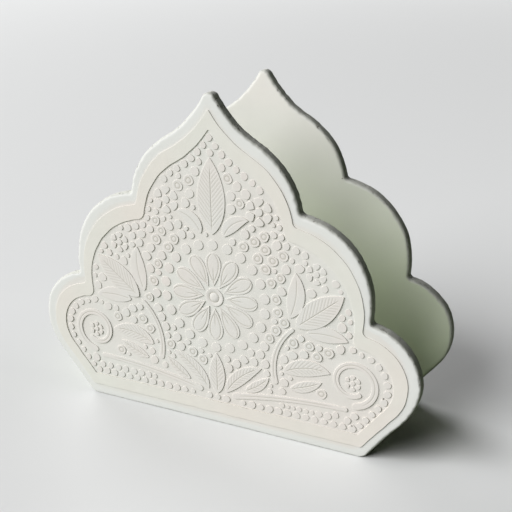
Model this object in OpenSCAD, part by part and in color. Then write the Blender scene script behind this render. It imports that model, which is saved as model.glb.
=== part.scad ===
// Napkin holder of pale unglazed clay: two upright panels with lobed outlines on a base slab,
// with a raised border band and a low raised ornament on the outer face of each panel.
// X runs across the panels, the front is towards -Y, and Z is up from the table.

/* [Panels] */
// Width of a panel across its lower lobes
panel_w = 170; // [160:1:180]
// Height of a panel from the table to its tip
panel_h = 139.6; // [134:0.2:146]
// Thickness of a panel
panel_t = 5; // [4:0.1:7]
// Rounding along the edges of a panel
edge_r = 1.8; // [1:0.1:1.9]
// Clear gap between the panels, where the napkins stand
gap = 43; // [35:1:60]

/* [Outline] */
// Radius of the tip
tip_r = 3; // [2.5:0.1:4]
// Radius of the hollow flanks under the tip
flank_r = 48; // [42:1:56]
// Radius in the sharp corners between the lobes
cusp_r = 1.5; // [1:0.1:3]
// Slope of the sides of the foot, in degrees from upright
slant = 38; // [35:1:41]
// Radius of the corners of the foot
corner_r = 6; // [4:0.5:8]

/* [Base] */
// Thickness of the base slab
base_t = 6; // [5:0.5:8]
// Distance of the slab's ends inside the sides of the foot
base_inset = 3; // [2:0.5:6]
// Radius of the clay coils smoothed into the inside corners
coil_r = 5; // [3:0.5:8]
// Thickness of a coil where it runs out on the slab and the panel
coil_lip = 0.8; // [0.5:0.1:1.5]
// Distance of the coils' ends inside the slab's ends
coil_inset = 4; // [2:0.5:8]

/* [Border] */
// Width of the plain rim outside the border band
rim_w = 4.8; // [4:0.1:6]
// Width of the border band
band_w = 5.4; // [4:0.1:7]
// Height of the border band above the face
band_rise = 0.7; // [0.5:0.1:1.5]

/* [Ornament] */
// Height of the ornament above the face
relief = 0.5; // [0.4:0.1:1.4]
// Narrowest groove between two raised shapes
groove = 0.6; // [0.4:0.1:0.8]
// Number of petals of the large rosette
petal_count = 12; // [8:1:16]
// Number of beads in the collar round the large rosette
bead_count = 22; // [16:1:24]
// Radius of the smallest pebble in the ground
pebble_min_r = 0.8; // [0.7:0.1:1]
// Radius of the largest pebble in the ground
pebble_max_r = 2.2; // [1.8:0.1:2.6]

/* [Hidden] */
half_w = panel_w / 2;
face_y = gap / 2 + panel_t;
coil_side = coil_r + coil_lip;
field_inset = rim_w + band_w;

// Points along each stretch of the outline, and round an edge
tip_steps = 4;
flank_steps = 8;
lobe_steps = 11;
cusp_steps = 3;
corner_steps = 4;
edge_steps = 4;

// Lobes of one side from the top: centre across and radius as shares of half_w, centre up of panel_h
lobe_shares = [[0.035, 0.659, 0.4], [0.382, 0.462, 0.388], [0.73, 0.25, 0.27]];
// Move across, move up and change of radius of each lobe of a border line, as shares of its inset
line_shares = [[-0.3, -0.7, -0.3], [-0.45, -0.85, -0.2], [-0.2, -0.2, -0.8]];
// Drop of a border line's tip and growth of its cusp radius, as shares of its inset
tip_drop_share = 1.35;
cusp_growth_share = 0.2;
// Least radius of a border line's tip and corners
line_min_r = 0.5;
// Height, as a share of panel_h, of the middle from which the whole edge of a panel can be seen
middle_share = 0.39;

// Rosette: height of its centre as a share of panel_h, and radii as shares of half_w
rosette_z_share = 0.415;
rosette_r_share = 0.222;
rosette_hollow_share = 0.058;
eye_r_share = 0.046;
collar_r_share = 0.262;
bead_r_share = 0.0245;
// Place of the widest point of a rounded petal along its length
petal_wide_share = 2 / 3;
// Top radius of a domed button as a share of its foot
dome_share = 0.75;

// Bud: gap over the collar and half width as shares of half_w, length as a share of the way to the top
bud_gap_share = 0.027;
bud_wide_share = 0.07;
bud_length_share = 0.556;
// Leaves: across, up, heading, length, half width, turn to the tip. Places and sizes are shares of
// half_w, except heights, which are shares of panel_h. Headings and turns are in degrees.
tulip_shares = [
    [0.418, 0.372, 40, 0.29, 0.062, 0],
    [0.384, 0.395, 66, 0.23, 0.042, 34],
    [0.466, 0.357, 14, 0.2, 0.038, -30]
];
leaf_shares = [
    [0.048, 0.112, 62, 0.26, 0.036, -40],
    [0.15, 0.131, 26, 0.16, 0.026, 24],
    [0.352, 0.222, 32, 0.24, 0.042, -44],
    [0.385, 0.172, 16, 0.17, 0.028, 14]
];
// Leaf beside the bud: as above, with its height over the bud's root as a share of half_w
sepal_shares = [0.06, -0.003, 72, 0.165, 0.032, -70];
// Middle leaf, which ends under the collar: height of its root and half width
middle_leaf_shares = [0.102, 0.042];
// Stems: as leaves, with the half width at the root and a taper to this share at the end
stem_shares = [[0.082, 0.104, 13, 0.592, 0.0165, -13], [0.312, 0.177, 106, 0.335, 0.014, -65]];
stem_taper_share = 0.65;
// Scroll: centre across and up, first and last radius, half width of the strap
scroll_shares = [0.69, 0.232, 0.118, 0.062, 0.017];
scroll_turn = 400;
scroll_taper_share = 0.7;
// Small rosettes: radii, and the places of the upper one over the bud's root and of the middle one.
// The lower one lies in the scroll.
floret_r_shares = [0.066, 0.05, 0.039];
upper_floret_shares = [0.236, 0.138];
middle_floret_shares = [0.51, 0.537];
floret_petals = 6;
// Heart of a small rosette, as a share of its radius
floret_heart_share = 0.28;
// Radius of the pebbles along the band as a share of the largest, and their play in size
edge_pebble_share = 0.75;
edge_play_share = 0.2;
// Pitch of the places tried for a pebble as a share of the largest, and their play of the pitch
try_pitch_share = 0.6;
try_play_share = 0.45;
// Least pebble taken in each round of packing, as a share of the largest
round_shares = [0.8, 0.6, 0.36];

// Points along a leaf and a scroll, and round a large and a small circle
leaf_steps = 12;
scroll_steps = 40;
circle_steps = 48;
dot_steps = 24;
// Powers of a leaf's and a petal's width from root to tip
leaf_powers = [0.75, 0.9];
petal_powers = [1, 0.5];
// Centre of the rosette, reach of its collar and root of the bud above it
rosette_z = rosette_z_share * panel_h;
collar_reach = half_w * (collar_r_share + bead_r_share);
bud_root_z = rosette_z + collar_reach + half_w * bud_gap_share;
// Steps and gain of the scatter function
scatter_steps = [127.1, 311.7];
scatter_gain = 4375.85;

// Outline of a panel

function heading(v) = (atan2(v[1], v[0]) + 360) % 360;

function spot(angle) = [cos(angle), sin(angle)];

// Point at r1 from c1 and r2 from c2, to the left of the way from c1 to c2
function meet(c1, r1, c2, r2) =
    let (d = norm(c2 - c1), u = (c2 - c1) / d, a = (r1 * r1 - r2 * r2 + d * d) / (2 * d))
    c1 + a * u + sqrt(max(0, r1 * r1 - a * a)) * [-u[1], u[0]];

// Points of an arc from one angle to another, without its last point
function arc(centre, r, from, to, steps) =
    [for (i = [0 : steps - 1]) centre + r * spot(from + (to - from) * i / steps)];

function lobe(i) = [lobe_shares[i][0] * half_w, lobe_shares[i][1] * panel_h, lobe_shares[i][2] * half_w];

function centre_of(l) = [l[0], l[1]];

// Distance across to the side of the foot at height z
function foot_x(z, l = lobe(2)) = l[0] + (l[2] + sin(slant) * (z - l[1])) / cos(slant);

// Distance across to the slab's end at height z
function slab_x(z) = foot_x(z) - base_inset / cos(slant);

// Right half of an outline from the tip to the foot: tangent arcs, a slanting side and a corner
function half_outline(lobes, tip_z, r_tip, r_flank, r_cusp, floor_z, r_corner) =
    let (
        tip = [0, tip_z],
        a = centre_of(lobes[0]), b = centre_of(lobes[1]), c = centre_of(lobes[2]),
        ra = lobes[0][2], rb = lobes[1][2], rc = lobes[2][2],
        flank = meet(tip, r_flank + r_tip, a, r_flank + ra),
        upper = meet(a, ra + r_cusp, b, rb + r_cusp),
        lower = meet(b, rb + r_cusp, c, rc + r_cusp),
        foot_z = floor_z + r_corner,
        foot = [c[0] + (rc - r_corner + sin(slant) * (foot_z - c[1])) / cos(slant), foot_z]
    )
    concat(
        arc(tip, r_tip, 90, heading(flank - tip), tip_steps),
        arc(flank, r_flank, heading(tip - flank), heading(a - flank), flank_steps),
        arc(a, ra, heading(flank - a), heading(upper - a), lobe_steps),
        arc(upper, r_cusp, heading(a - upper), heading(b - upper), cusp_steps),
        arc(b, rb, heading(upper - b), heading(lower - b) - 360, lobe_steps),
        arc(lower, r_cusp, heading(b - lower), heading(c - lower), cusp_steps),
        arc(c, rc, heading(lower - c), -slant, lobe_steps),
        arc(foot, r_corner, -slant, -90, corner_steps),
        [foot - [0, r_corner]]
    );

// Full outline, clockwise seen from the front
function both_sides(half) = concat(half, [for (i = [len(half) - 1 : -1 : 1]) [-half[i][0], half[i][1]]]);

// Outline of the panel moved inwards square to itself, as round its edges
function edge_outline(inset) = both_sides(half_outline(
    [for (i = [0 : 2]) lobe(i) - [0, 0, inset]],
    panel_h - tip_r, tip_r - inset, flank_r + inset, cusp_r + inset, inset, corner_r - inset));

// Line inside the outline that keeps the crisp cusps, as the border's edges do
function line_outline(inset) =
    let (r_tip = max(tip_r - inset, line_min_r))
    both_sides(half_outline(
        [for (i = [0 : 2]) lobe(i) + inset * line_shares[i]],
        panel_h - tip_drop_share * inset - r_tip, r_tip, flank_r,
        cusp_r + cusp_growth_share * inset, inset, max(corner_r - inset, line_min_r)));

// Leaves and petals

function across(share) = share * half_w;

function place(shares) = [across(shares[0]), shares[1] * panel_h];

// Leaf or stem in real sizes: across, up, heading, length, half width, turn
function sized(row) = concat(place(row), row[2], across(row[3]), across(row[4]), row[5]);

function bud_rows() = [
    [0, bud_root_z, 90, bud_length_share * (panel_h - bud_root_z), across(bud_wide_share), 0],
    concat(
        across(sepal_shares[0]), bud_root_z + across(sepal_shares[1]), sepal_shares[2],
        across(sepal_shares[3]), across(sepal_shares[4]), sepal_shares[5])
];

function middle_leaf() =
    let (root_z = middle_leaf_shares[0] * panel_h)
    [0, root_z, 90, rosette_z - collar_reach - groove - root_z, across(middle_leaf_shares[1]), 0];

function tulip_rows() = [for (row = tulip_shares) sized(row)];
function leaf_rows() = concat([middle_leaf()], [for (row = leaf_shares) sized(row)]);
function stem_rows() = [for (row = stem_shares) sized(row)];

// Small rosettes, each as across, up, radius
function floret_rows() = [
    [
        across(upper_floret_shares[0]), bud_root_z + across(upper_floret_shares[1]),
        across(floret_r_shares[0])
    ],
    concat(place(middle_floret_shares), across(floret_r_shares[1])),
    concat(place(scroll_shares), across(floret_r_shares[2]))
];

// Point at part t of the length of a spine that starts at root and turns steadily
function spine(root, angle, length, turn, t) =
    turn == 0 ? root + length * t * spot(angle)
    : let (r = length / (turn * PI / 180), end = angle + turn * t)
      root + r * [sin(end) - sin(angle), cos(angle) - cos(end)];

// Width at part t, as a share of the widest, which lies where the two powers balance
function swell(t, powers) =
    let (peak = powers[0] / (powers[0] + powers[1]))
    pow(t / peak, powers[0]) * pow((1 - t) / (1 - peak), powers[1]);

// Outline of a leaf: up one side of the spine and down the other
function leaf_outline(root, angle, length, half, turn, powers) =
    let (
        ts = [for (i = [0 : leaf_steps]) (1 - cos(180 * i / leaf_steps)) / 2],
        edge = function (t, side) spine(root, angle, length, turn, t)
            + side * half * swell(t, powers) * spot(angle + turn * t + 90)
    )
    concat([for (t = ts) edge(t, 1)], [for (i = [leaf_steps - 1 : -1 : 1]) edge(ts[i], -1)]);

// Outline of a strap of even taper along a spine
function strap_outline(root, angle, length, half, turn, taper) =
    let (edge = function (i, side) spine(root, angle, length, turn, i / leaf_steps)
        + side * half * (1 - (1 - taper) * i / leaf_steps) * spot(angle + turn * i / leaf_steps + 90))
    concat([for (i = [0 : leaf_steps]) edge(i, 1)], [for (i = [leaf_steps : -1 : 0]) edge(i, -1)]);

// Outline of the scroll's strap, which winds in from its lowest point
function scroll_outline() =
    let (
        edge = function (i, side)
            let (
                t = i / scroll_steps, r = scroll_shares[2] + (scroll_shares[3] - scroll_shares[2]) * t,
                half = scroll_shares[4] * (1 - (1 - scroll_taper_share) * t)
            )
            place(scroll_shares) + across(r + side * half) * spot(scroll_turn * t - 90)
    )
    concat([for (i = [0 : scroll_steps]) edge(i, 1)], [for (i = [scroll_steps : -1 : 0]) edge(i, -1)]);

module leaf(row) {
    polygon(leaf_outline(centre_of(row), row[2], row[3], row[4], row[5], leaf_powers));
}

module strap(row) {
    polygon(strap_outline(centre_of(row), row[2], row[3], row[4], row[5], stem_taper_share));
}

// Ring of rounded petals that leave a groove between each other
module petals(centre, r_in, r_out, count) {
    widest = r_in + petal_wide_share * (r_out - r_in);
    half = widest * sin(180 / count) - groove / 2;
    for (i = [0 : count - 1]) {
        angle = 90 + 360 * i / count;
        polygon(leaf_outline(centre + r_in * spot(angle), angle, r_out - r_in, half, 0, petal_powers));
    }
}

// Pebbles of the ground

function leaf_discs(row) =
    [for (i = [0 : leaf_steps]) let (t = i / leaf_steps)
        concat(spine(centre_of(row), row[2], row[3], row[5], t), row[4] * swell(t, leaf_powers))];

function strap_discs(row) =
    [for (i = [0 : leaf_steps * 2]) let (t = i / leaf_steps / 2)
        concat(spine(centre_of(row), row[2], row[3], row[5], t), row[4])];

function joined(lists) = [for (l = lists) for (item = l) item];

// Discs that cover every shape of the right half, each as across, up, radius
function right_discs() = concat(
    [[0, rosette_z, collar_reach]],
    [concat(place(scroll_shares), across(scroll_shares[2] + scroll_shares[4]))],
    floret_rows(),
    joined([for (row = concat(bud_rows(), tulip_rows(), leaf_rows())) leaf_discs(row)]),
    joined([for (row = stem_rows()) strap_discs(row)])
);

function all_discs() =
    let (right = right_discs()) concat(right, [for (d = right) [-d[0], d[1], d[2]]]);

// Distance from p to the stretch from a to b
function off_stretch(p, a, b) =
    let (ab = b - a, t = max(0, min(1, (p - a) * ab / (ab * ab)))) norm(p - a - t * ab);

// Stretches of a closed line, and the distance from p to the nearest of some stretches
function stretches(line) = let (n = len(line)) [for (k = [0 : n - 1]) [line[k], line[(k + 1) % n]]];
function off_line(p, parts) = min([for (s = parts) off_stretch(p, s[0], s[1])]);

// Distance across to a line at height z
function line_reach(line, z) =
    min([for (s = stretches(line)) let (a = s[0], b = s[1])
        if (a[0] + b[0] > 0 && (a[1] > z) != (b[1] > z))
            a[0] + (b[0] - a[0]) * (z - a[1]) / (b[1] - a[1])]);

// Scattered number between 0 and 1 that is always the same for the same a and b
function scatter(a, b) = let (v = scatter_gain * sin([a, b] * scatter_steps)) v - floor(v);

// Distances along a closed line from its first point to each point and back
function along(line) =
    let (n = len(line))
    [for (i = 0, run = 0; i <= n; run = run + norm(line[(i + 1) % n] - line[i % n]), i = i + 1) run];

// Row of pebbles just inside the band, each as across, up, radius
function edge_pebbles() =
    let (
        r_max = edge_pebble_share * pebble_max_r,
        line = line_outline(field_inset + groove + r_max), runs = along(line), n = len(line),
        count = floor(runs[n] / (2 * r_max + groove)), pitch = runs[n] / count
    )
    [
        for (i = [0 : n - 1], k = [ceil(runs[i] / pitch) : ceil(runs[i + 1] / pitch) - 1])
            let (t = (k * pitch - runs[i]) / (runs[i + 1] - runs[i]))
            concat(
                line[i] + t * (line[(i + 1) % n] - line[i]),
                r_max * (1 - edge_play_share * scatter(k, 0)))
    ];

function room_at(p, discs) = min([for (d = discs) norm(p - centre_of(d)) - d[2]]) - groove;

// Edge pebbles that the other shapes leave room for
function clear_edge_pebbles(discs) =
    let (border = stretches(line_outline(field_inset)))
    [for (p = edge_pebbles())
        let (q = centre_of(p), r = min(p[2], room_at(q, discs), off_line(q, border) - groove))
        if (r >= pebble_min_r) concat(q, r)];

// Places to try for a pebble, with the room that the shapes, the edge row and the band leave there
function tries(discs) =
    let (
        line = line_outline(field_inset), border = stretches(line), top = line[0][1],
        pitch = try_pitch_share * pebble_max_r, near = pebble_max_r + groove
    )
    [
        for (z = [field_inset + pitch : pitch : top])
            let (
                reach = line_reach(line, z),
                row = [for (d = discs) if (abs(d[1] - z) < d[2] + near) d],
                sides = [for (s = border)
                    if (min(s[0][1], s[1][1]) < z + near && max(s[0][1], s[1][1]) > z - near) s]
            )
            for (x = [-reach : pitch : reach])
                let (
                    p = [x + pitch * try_play_share * scatter(x, z), z],
                    room = min(near, room_at(p, row), off_line(p, sides) - groove)
                )
                if (room >= pebble_min_r && abs(p[0]) < reach) concat(p, room)
    ];

// Takes each try in turn that still has room for a pebble of at least r_min, and makes it as large as fits
function packed(spots, r_min, kept, k = 0) =
    k == len(spots) ? kept
    : let (r = min(pebble_max_r, spots[k][2], room_at(centre_of(spots[k]), kept)))
      packed(spots, r_min, r >= r_min ? concat(kept, [concat(centre_of(spots[k]), r)]) : kept, k + 1);

// All pebbles: the row along the band, then rounds of packing from large to small
function pebbles() =
    let (
        discs = all_discs(), edge = clear_edge_pebbles(discs), spots = tries(concat(discs, edge)),
        large = packed(spots, round_shares[0] * pebble_max_r, edge),
        middle = packed(spots, round_shares[1] * pebble_max_r, large)
    )
    packed(spots, max(pebble_min_r, round_shares[2] * pebble_max_r), middle);

// Solids

// Closed skin through equal rings of points that lie one behind the other, and the middles of both ends
module skin(rings, first_middle, last_middle) {
    n = len(rings[0]);
    last = (len(rings) - 1) * n;
    polyhedron(
        points = concat(joined(rings), [first_middle, last_middle]),
        faces = concat(
            [for (i = [0 : n - 1]) [i, (i + 1) % n, last + n]],
            [for (i = [0 : n - 1]) [last + (i + 1) % n, last + i, last + n + 1]],
            [for (j = [0 : len(rings) - 2], i = [0 : n - 1])
                [j * n + i, (j + 1) * n + i, (j + 1) * n + (i + 1) % n]],
            [for (j = [0 : len(rings) - 2], i = [0 : n - 1])
                [j * n + i, (j + 1) * n + (i + 1) % n, j * n + (i + 1) % n]]
        )
    );
}

// Panel with rounded edges, from y = 0 back to its thickness
module panel() {
    front = [for (i = [0 : edge_steps]) let (a = 90 * i / edge_steps) edge_r * [1 - sin(a), 1 - cos(a)]];
    layers = concat(front, [for (i = [edge_steps : -1 : 0]) [front[i][0], panel_t - front[i][1]]]);
    middle_z = middle_share * panel_h;
    skin(
        [for (l = layers) [for (p = edge_outline(l[0])) [p[0], l[1], p[1]]]],
        [0, 0, middle_z], [0, panel_t, middle_z]);
}

// Stands flat shapes, drawn across and up, on the front panel's face
module on_front(rise = relief) {
    translate([0, -face_y, 0]) rotate([90, 0, 0]) linear_extrude(height = rise) children();
}

module turned() {
    rotate([0, 0, 180]) children();
}

module both_halves() {
    children();
    mirror([1, 0]) children();
}

module joint_coil() {
    length = 2 * (slab_x(base_t) - coil_inset);
    color("#d9d8cf")
    translate([-length / 2, -gap / 2, base_t]) rotate([90, 0, 90]) linear_extrude(height = length)
    difference() {
        square(coil_side);
        translate([coil_side, coil_side]) circle(r = coil_r, $fn = circle_steps);
    }
}

module border_band() {
    color("#e7e1d7") on_front(band_rise)
    difference() {
        polygon(line_outline(rim_w));
        polygon(line_outline(field_inset));
    }
}

module rosette() {
    color("#e6e1d8") on_front()
    petals([0, rosette_z], across(rosette_hollow_share), across(rosette_r_share), petal_count);
}

module rosette_eye() {
    r = across(eye_r_share);
    color("#e6e1d8")
    translate([0, -face_y, rosette_z]) rotate([90, 0, 0])
    cylinder(h = band_rise, r1 = r, r2 = r * dome_share, $fn = circle_steps);
}

module collar_beads() {
    color("#e6e1d8") on_front()
    for (i = [0 : bead_count - 1]) {
        translate([0, rosette_z] + across(collar_r_share) * spot(360 * (i + 0.5) / bead_count))
        circle(r = across(bead_r_share), $fn = dot_steps);
    }
}

module bud() {
    color("#e8ded4") on_front() {
        leaf(bud_rows()[0]);
        both_halves() leaf(bud_rows()[1]);
    }
}

module florets() {
    color("#e6e1d8") on_front()
    both_halves()
    for (f = floret_rows()) {
        heart = f[2] * floret_heart_share;
        translate(centre_of(f)) circle(r = heart, $fn = dot_steps);
        petals(centre_of(f), heart + groove, f[2], floret_petals);
    }
}

module tulips() {
    color("#e6e1d8") on_front() both_halves() for (row = tulip_rows()) leaf(row);
}

module leaves() {
    color("#e6e1d8") on_front() {
        leaf(middle_leaf());
        both_halves() for (row = leaf_shares) leaf(sized(row));
    }
}

module stems() {
    color("#e6e1d8") on_front() both_halves() for (row = stem_rows()) strap(row);
}

module scrolls() {
    color("#e6e1d8") on_front() both_halves() polygon(scroll_outline());
}

module pebble_ground() {
    color("#e6e3dc") on_front()
    for (p = pebbles()) {
        translate(centre_of(p)) circle(r = p[2], $fn = dot_steps);
    }
}

module front_panel() {
    color("#e4e2d8") translate([0, -face_y, 0]) panel();
}

module back_panel() {
    color("#e4e2d8") translate([0, gap / 2, 0]) panel();
}

// Slab between the panels, with ends that slope as the foot does
module base_slab() {
    color("#dedcd2")
    translate([0, gap / 2, 0]) rotate([90, 0, 0]) linear_extrude(height = gap)
    polygon([[-slab_x(0), 0], [slab_x(0), 0], [slab_x(base_t), base_t], [-slab_x(base_t), base_t]]);
}

front_panel();
back_panel();
base_slab();
joint_coil();  // front_joint_coil
turned() joint_coil();  // rear_joint_coil
border_band();  // front_border_band
rosette();  // front_rosette
rosette_eye();  // front_rosette_eye
collar_beads();  // front_collar_beads
bud();  // front_bud
florets();  // front_florets
tulips();  // front_tulips
leaves();  // front_leaves
stems();  // front_stems
scrolls();  // front_scrolls
pebble_ground();  // front_pebbles
turned() border_band();  // rear_border_band
turned() rosette();  // rear_rosette
turned() rosette_eye();  // rear_rosette_eye
turned() collar_beads();  // rear_collar_beads
turned() bud();  // rear_bud
turned() florets();  // rear_florets
turned() tulips();  // rear_tulips
turned() leaves();  // rear_leaves
turned() stems();  // rear_stems
turned() scrolls();  // rear_scrolls
turned() pebble_ground();  // rear_pebbles
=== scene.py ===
"""Napkin holder of pale bisque clay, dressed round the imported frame.

The frame gives the size and place of every piece. Each piece of clay is modelled again here with rounded
edges, the small unevenness of hand work and crisp carving, and stands for its node in the frame.

Two coordinate frames are used. The frame's own has X across, Y towards the back and Z up. Relief is drawn
in plan: X across, Y up the panel and Z out of its face. Side.placing() stands a plan on a face.
"""

import logging
import math
from dataclasses import dataclass, field
from enum import Enum
from functools import cache, partial
from typing import Callable, Iterable, Sequence

import bmesh
import bpy
import numpy as np
from bpy.types import Mesh, Node, NodeTree
from mathutils import Matrix, Vector

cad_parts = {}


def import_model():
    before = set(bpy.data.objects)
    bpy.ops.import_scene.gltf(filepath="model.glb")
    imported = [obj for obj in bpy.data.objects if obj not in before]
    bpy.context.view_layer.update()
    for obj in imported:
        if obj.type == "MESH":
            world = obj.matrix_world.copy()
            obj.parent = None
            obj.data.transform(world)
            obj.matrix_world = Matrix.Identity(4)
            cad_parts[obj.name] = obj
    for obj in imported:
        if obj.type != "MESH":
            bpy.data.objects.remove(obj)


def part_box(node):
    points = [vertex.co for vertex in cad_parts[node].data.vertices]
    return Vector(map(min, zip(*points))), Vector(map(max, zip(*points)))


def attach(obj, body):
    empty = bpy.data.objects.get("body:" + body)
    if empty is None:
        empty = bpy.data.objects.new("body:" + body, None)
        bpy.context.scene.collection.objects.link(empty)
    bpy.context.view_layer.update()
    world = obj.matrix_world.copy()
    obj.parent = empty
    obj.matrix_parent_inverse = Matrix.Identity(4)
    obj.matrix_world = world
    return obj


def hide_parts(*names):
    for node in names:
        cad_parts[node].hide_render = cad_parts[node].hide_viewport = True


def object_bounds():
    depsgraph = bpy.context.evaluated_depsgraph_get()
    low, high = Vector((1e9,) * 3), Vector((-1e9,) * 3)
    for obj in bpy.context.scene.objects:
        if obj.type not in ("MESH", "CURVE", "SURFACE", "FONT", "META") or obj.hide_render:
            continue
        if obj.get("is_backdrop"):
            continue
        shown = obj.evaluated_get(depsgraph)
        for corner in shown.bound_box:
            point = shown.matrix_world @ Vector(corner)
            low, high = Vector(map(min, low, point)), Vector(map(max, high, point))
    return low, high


LOG = logging.getLogger("napkin_holder")
MM = 0.001
MARKS = ("groove", "rim", "edge", "inner", "painted_light")  # what a finish reads at each point of a skin: groove, edge and inner carry painted shade (groove with dust, edge with wear), the last painted light
RIM_W = 4.8 * MM  # width of a panel's plain rim, outside its band
UP = 90.0  # heading up the panel, in degrees
MIX_UNDER, MIX_OVER, MIX_RESULT = 6, 7, 2  # sockets of a Mix node that hold colours
RANDOM_LEAST, RANDOM_MOST, RANDOM_VALUE = 2, 3, 1  # sockets of a Random Value node that hold floats
RANDOM_LAST, RANDOM_CHOICE = 5, 2  # its sockets that hold whole numbers
SRGB_KNEE, SRGB_SLOPE, SRGB_OFFSET, SRGB_POWER = 0.04045, 12.92, 0.055, 2.4  # of the sRGB curve

Point = tuple[float, float]
Rgb = tuple[int, int, int]
Play = tuple[int, float, float]  # step of the seed, depth of the unevenness and length of its waves
Path = Callable[[np.ndarray], tuple[np.ndarray, np.ndarray]]
Widths = Callable[[np.ndarray], np.ndarray]
Socket = bpy.types.NodeSocket
Value = Socket | float
Feeds = dict[str | int, object]  # what feeds a node's inputs, by their names or numbers
Label = tuple[str, str]  # name and type of a socket
Opened = tuple["Net", bpy.types.NodeOutputs, Node]


# Numbers


def unit(angles: np.ndarray) -> np.ndarray:
    """Return unit vectors at the given angles, in radians."""
    return np.stack([np.cos(angles), np.sin(angles)], axis=-1)


def cut(distance: np.ndarray, width: float) -> np.ndarray:
    """Return the profile of a cut line of a half width: 1 on the line, and near 0 past its width."""
    return np.exp(-(distance / width) ** 2)


def smooth_step(values: np.ndarray, low: float, high: float) -> np.ndarray:
    """Return a smooth rise from 0 at low to 1 at high."""
    t = np.clip((values - low) / (high - low), 0.0, 1.0)
    return t * t * (3.0 - 2.0 * t)


@dataclass(frozen=True)
class HandPlay:
    """Soft unevenness of hand work: a sum of waves in scattered directions."""

    seed: int
    depth: float  # greatest likely departure
    length: float  # typical length of a wave
    waves: int = 9
    stretch: Point = (0.6, 1.6)  # range of the waves' lengths, as shares

    def at(self, x: np.ndarray, y: np.ndarray) -> np.ndarray:
        """Return the departure at places.

        Args:
            x: Places across.
            y: Places up.

        Returns:
            The departure at each place.
        """
        draw = np.random.default_rng(self.seed)
        total = np.zeros_like(np.asarray(x, dtype=float))
        for _ in range(self.waves):
            angle, phase = draw.uniform(0.0, 2.0 * math.pi, 2)
            turns = 2.0 * math.pi / (self.length * draw.uniform(*self.stretch))
            total = total + np.sin(turns * (x * math.cos(angle) + y * math.sin(angle)) + phase)
        return self.depth * total / math.sqrt(2.0 * self.waves)


class Side(Enum):
    """The two panels, which are the same but turned by half a turn."""

    FRONT = "front"
    REAR = "rear"

    @property
    def seed(self) -> int:
        """Seed of this side's hand work."""
        return 11 if self is Side.FRONT else 47

    def play(self, values: Play) -> HandPlay:
        """Return this side's own unevenness."""
        return HandPlay(self.seed + values[0], *values[1:])

    def placing(self, face_y: float) -> Matrix:
        """Return the matrix that stands a plan on the outer face at a distance from the middle."""
        half_turn = Matrix.Rotation(math.pi if self is Side.REAR else 0.0, 4, "Z")
        return half_turn @ Matrix.Translation((0.0, -face_y, 0.0)) @ Matrix.Rotation(math.pi / 2, 4, "X")


class Carving(Enum):
    """Lines that are cut into a raised shape."""

    PLAIN = "plain"
    VEINED = "veined"
    RIMMED = "rimmed"
    GROOVED = "grooved"


# Meshes


@dataclass
class Skin:
    """A closed skin through rings of points, with the marks that a finish reads."""

    rings: np.ndarray  # as rings x points x 3
    marks: dict[str, np.ndarray] = field(default_factory=dict)  # values of MARKS, as rings x points
    closed: bool = False  # whether the last ring joins the first; otherwise both ends are capped

    def mesh(self, name: str, sharp: float = 50.0) -> Mesh:
        """Make the skin a mesh, shaded smooth and facing outwards.

        Args:
            name: Name of the mesh.
            sharp: Angle in degrees past which an edge is sharp.

        Returns:
            The new mesh.
        """
        count, around = self.rings.shape[:2]
        index = np.arange(count * around).reshape(count, around)
        this, after = (index, np.roll(index, -1, 0)) if self.closed else (index[:-1], index[1:])
        quads = np.stack([this, np.roll(this, -1, 1), np.roll(after, -1, 1), after], axis=-1)
        points, faces = self.rings.reshape(-1, 3), quads.reshape(-1, 4).tolist()
        ends = [] if self.closed else [index[0][::-1], index[-1]]
        for end in ends:
            centre = len(points)
            points = np.vstack([points, points[end].mean(axis=0)])
            faces += [(centre, int(a), int(b)) for a, b in zip(end, np.roll(end, -1))]
        mesh = bpy.data.meshes.new(name)
        mesh.from_pydata(points.tolist(), [], faces)
        for mark in MARKS:
            flat = self.marks.get(mark, np.zeros((count, around))).reshape(-1)
            values = np.concatenate([flat, [flat[end].mean() for end in ends]])
            mesh.attributes.new(mark, "FLOAT", "POINT").data.foreach_set("value", values.astype(np.float32))
        work = bmesh.new()
        work.from_mesh(mesh)
        bmesh.ops.recalc_face_normals(work, faces=work.faces)
        work.to_mesh(mesh)
        work.free()
        mesh.shade_smooth()
        mesh.set_sharp_from_angle(angle=math.radians(sharp))
        return mesh


def joined(name: str, meshes: Sequence[Mesh]) -> Mesh:
    """Join meshes into one and remove the parts.

    Args:
        name: Name of the joined mesh.
        meshes: The meshes to join, all in one coordinate frame.

    Returns:
        The joined mesh.
    """
    work = bmesh.new()
    for mesh in meshes:
        work.from_mesh(mesh)
    whole = bpy.data.meshes.new(name)
    work.to_mesh(whole)
    work.free()
    for mesh in meshes:
        bpy.data.meshes.remove(mesh)
    return whole


def moved(mesh: Mesh, place: Point) -> Mesh:
    """Move a plan's mesh to a place and return it."""
    mesh.transform(Matrix.Translation((*place, 0.0)))
    return mesh


def both_halves(meshes: Sequence[Mesh]) -> list[Mesh]:
    """Add mirrored copies of the right half's meshes.

    Args:
        meshes: Plans' meshes.

    Returns:
        The meshes and their copies.
    """
    copies = [mesh.copy() for mesh in meshes]
    for copy in copies:
        copy.transform(Matrix.Scale(-1.0, 4, (1.0, 0.0, 0.0)))
        copy.flip_normals()
    return [*meshes, *copies]


# Outline


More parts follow.
